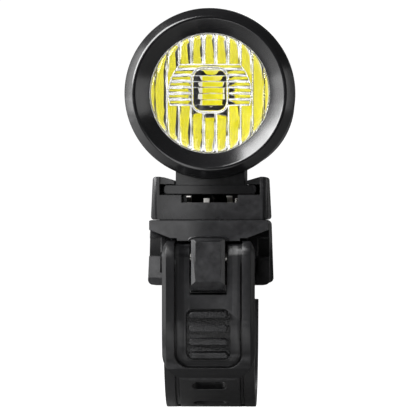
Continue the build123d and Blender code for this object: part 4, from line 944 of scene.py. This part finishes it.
# Name, place, width, height, power and aim of each lamp, in metres and watts
SOFTBOXES = (
    ("left_softbox", (-0.30, -0.06, 0.095), 0.22, 0.31, 0.72, (0.0, -0.02, 0.05)),
    ("upper_left_softbox", (-0.205, -0.16, 0.225), 0.28, 0.31, 3.0, (0.0, -0.015, 0.05)),
    ("near_panel", (-0.0095, -0.040, 0.028), 0.012, 0.023, 0.0018, (-0.0095, 0.0, 0.028)),
    ("low_panel", (-0.004, -0.060, -0.0235), 0.050, 0.033, 0.0110, (-0.004, 0.0, -0.016)),
    ("right_softbox", (0.32, -0.05, 0.07), 0.14, 0.18, 0.10, (0.0, -0.02, 0.05)),
    ("rear_softbox", (0.10, 0.40, 0.42), 0.30, 0.30, 0.8, (0.0, 0.04, 0.03)),
)


def lamp_at(scene, name, place, width, height, power, aim):
    """A soft rectangular lamp that faces the object."""
    data = bpy.data.lights.new(name, "AREA")
    data.shape = "RECTANGLE"
    data.size = width
    data.size_y = height
    data.energy = power
    lamp = bpy.data.objects.new(name, data)
    lamp.location = place
    lamp.rotation_euler = (Vector(aim) - Vector(place)).to_track_quat("-Z", "Y").to_euler()
    lamp.visible_camera = False
    scene.collection.objects.link(lamp)


class HEADLIGHT_OT_stage(bpy.types.Operator):
    """Set up the camera, the soft lamps and the pale floor"""
    bl_idname = "headlight.stage"
    bl_label = "Studio"

    def execute(self, context):
        scene = context.scene
        self.make_camera(scene)
        self.make_floor()
        self.make_world(scene)
        for lamp in SOFTBOXES:
            lamp_at(scene, *lamp)
        scene.view_settings.view_transform = "Standard"
        return {"FINISHED"}

    def make_camera(self, scene):
        """A level camera in front of the lamp."""
        settings = scene.headlight_studio
        back = Vector((math.sin(settings.azimuth), -math.cos(settings.azimuth), 0))
        target = Vector((settings.aim_x, BEZEL_LOW.y, settings.aim_z))
        data = bpy.data.cameras.new("camera")
        data.sensor_width = SENSOR_WIDTH
        data.lens = SENSOR_WIDTH * settings.distance / settings.frame_width
        data.clip_start = CLIP_START
        camera = bpy.data.objects.new("camera", data)
        camera.location = target + back * settings.distance
        camera.rotation_euler = (-back).to_track_quat("-Z", "Y").to_euler()
        scene.collection.objects.link(camera)
        scene.camera = camera

    def make_floor(self):
        """A pale floor that curves up behind the object and keeps its shadow."""
        level = CAD_BOX[0].z - STRAP_SWING
        path = [(FLOOR_FRONT, level), (FLOOR_FAR, level)]
        for step in range(1, BEND_STEPS + 1):
            angle = math.radians(90 / BEND_STEPS * step)
            rise = BEND_RADIUS * (1 - math.cos(angle))
            path.append((FLOOR_FAR + BEND_RADIUS * math.sin(angle), level + rise))
        path.append((FLOOR_FAR + BEND_RADIUS, level + WALL_HEIGHT))
        bm = bmesh.new()
        left, right = (
            [bm.verts.new((x, y, z)) for y, z in path] for x in (-FLOOR_SIDE, FLOOR_SIDE))
        for index in range(len(path) - 1):
            bm.faces.new([left[index], right[index], right[index + 1], left[index + 1]])
        backdrop = add_object("backdrop", bm)
        backdrop.data.materials.append(self.paper())

    def paper(self):
        """Backdrop paper with a light of its own that the object's mirrored rays see less."""
        material, tree, shader = start_material("backdrop_paper")
        fibres = place_node(tree, "ShaderNodeTexNoise", Scale=PAPER_SCALE, Detail=4.0)
        camera_rays, mirrored = ray_kinds(tree)
        pale = blend_colours(tree, fibres.outputs[0], PAPER_DARK, PAPER_PALE)
        darkened = maths(tree, "MULTIPLY", mirrored, MIRRORED_SHARE)
        tree.links.new(
            blend_colours(tree, darkened, pale, MIRRORED_PAPER), shader.inputs["Base Color"])
        shader.inputs["Roughness"].default_value = PAPER_ROUGHNESS
        place = object_place(tree)
        reach = place_node(tree, "ShaderNodeVectorMath", {0: place}, operation="LENGTH")
        light = ramp(tree, reach.outputs["Value"], LIGHT_START, LIGHT_FULL, start=NEAR_LIGHT)
        glow = place_node(tree, "ShaderNodeEmission", {"Color": light}, Strength=1.0)
        across = split_place(tree, place)[0]
        share = ramp(tree, across, LEFT_X, MIDDLE_X, LEFT_SHARE, MIDDLE_SHARE)
        mirrored_share = maths(tree, "MULTIPLY", mirrored, share)
        seen = maths(tree, "ADD", camera_rays, mirrored_share, clamp=True)
        both = place_node(tree, "ShaderNodeAddShader", {0: shader.outputs[0], 1: glow.outputs[0]})
        pick = place_node(
            tree, "ShaderNodeMixShader", {0: seen, 1: shader.outputs[0], 2: both.outputs[0]})
        tree.links.new(pick.outputs[0], tree.nodes["Material Output"].inputs["Surface"])
        return material

    def make_world(self, scene):
        """A dim room that the camera sees as white."""
        world = bpy.data.worlds.new("room")
        world.use_nodes = True
        tree = world.node_tree
        dim = tree.nodes["Background"]
        dim.inputs["Color"].default_value = (1, 1, 1, 1)
        dim.inputs["Strength"].default_value = ROOM_LIGHT
        white = place_node(tree, "ShaderNodeBackground", Color=(1, 1, 1, 1), Strength=1.0)
        direction = tree.nodes.new("ShaderNodeTexCoord").outputs["Generated"]
        behind = split_place(tree, direction)[1]
        shade = ramp(tree, behind, BEHIND_START, BEHIND_FULL, start=ELSEWHERE_TONE)
        reflected = place_node(tree, "ShaderNodeBackground", {"Color": shade}, Strength=1.0)
        camera_rays, mirrored = ray_kinds(tree)
        room = place_node(
            tree, "ShaderNodeMixShader", {0: mirrored, 1: dim.outputs[0], 2: reflected.outputs[0]})
        pick = place_node(
            tree, "ShaderNodeMixShader", {0: camera_rays, 1: room.outputs[0], 2: white.outputs[0]})
        tree.links.new(pick.outputs[0], tree.nodes["World Output"].inputs["Surface"])
        scene.world = world


OPERATORS = (
    HEADLIGHT_OT_finishes, HEADLIGHT_OT_bezel, HEADLIGHT_OT_optic, HEADLIGHT_OT_soft_parts,
    HEADLIGHT_OT_bracket, HEADLIGHT_OT_stage,
)


class HEADLIGHT_PT_panel(bpy.types.Panel):
    """Lists the steps that dress the headlight, and its settings"""
    bl_idname = "HEADLIGHT_PT_panel"
    bl_label = "Headlight"
    bl_space_type = "VIEW_3D"
    bl_region_type = "UI"
    bl_category = "Headlight"

    def draw(self, context):
        layout = self.layout
        for step in OPERATORS:
            layout.operator(step.bl_idname)
        for owner in SETTINGS:
            group = getattr(context.scene, owner)
            column = layout.column()
            for key in group.__annotations__:
                column.prop(group, key)


SETTINGS = {
    "headlight_lamp": LampSizes,
    "headlight_colours": FinishColours,
    "headlight_studio": StudioSettings,
}


def register():
    """Register the settings, the steps and the panel."""
    for owner, group in SETTINGS.items():
        bpy.utils.register_class(group)
        setattr(bpy.types.Scene, owner, bpy.props.PointerProperty(type=group))
    for step in (*OPERATORS, HEADLIGHT_PT_panel):
        bpy.utils.register_class(step)


def unregister():
    """Remove the panel, the steps and the settings."""
    for step in reversed((*OPERATORS, HEADLIGHT_PT_panel)):
        bpy.utils.unregister_class(step)
    for owner, group in SETTINGS.items():
        delattr(bpy.types.Scene, owner)
        bpy.utils.unregister_class(group)


def main():
    """Run every step in order."""
    register()
    bpy.ops.headlight.finishes()
    bpy.ops.headlight.bezel()
    bpy.ops.headlight.optic()
    bpy.ops.headlight.soft_parts()
    bpy.ops.headlight.bracket()
    bpy.ops.headlight.stage()
    bpy.context.view_layer.update()


if __name__ == "__main__":
    main()
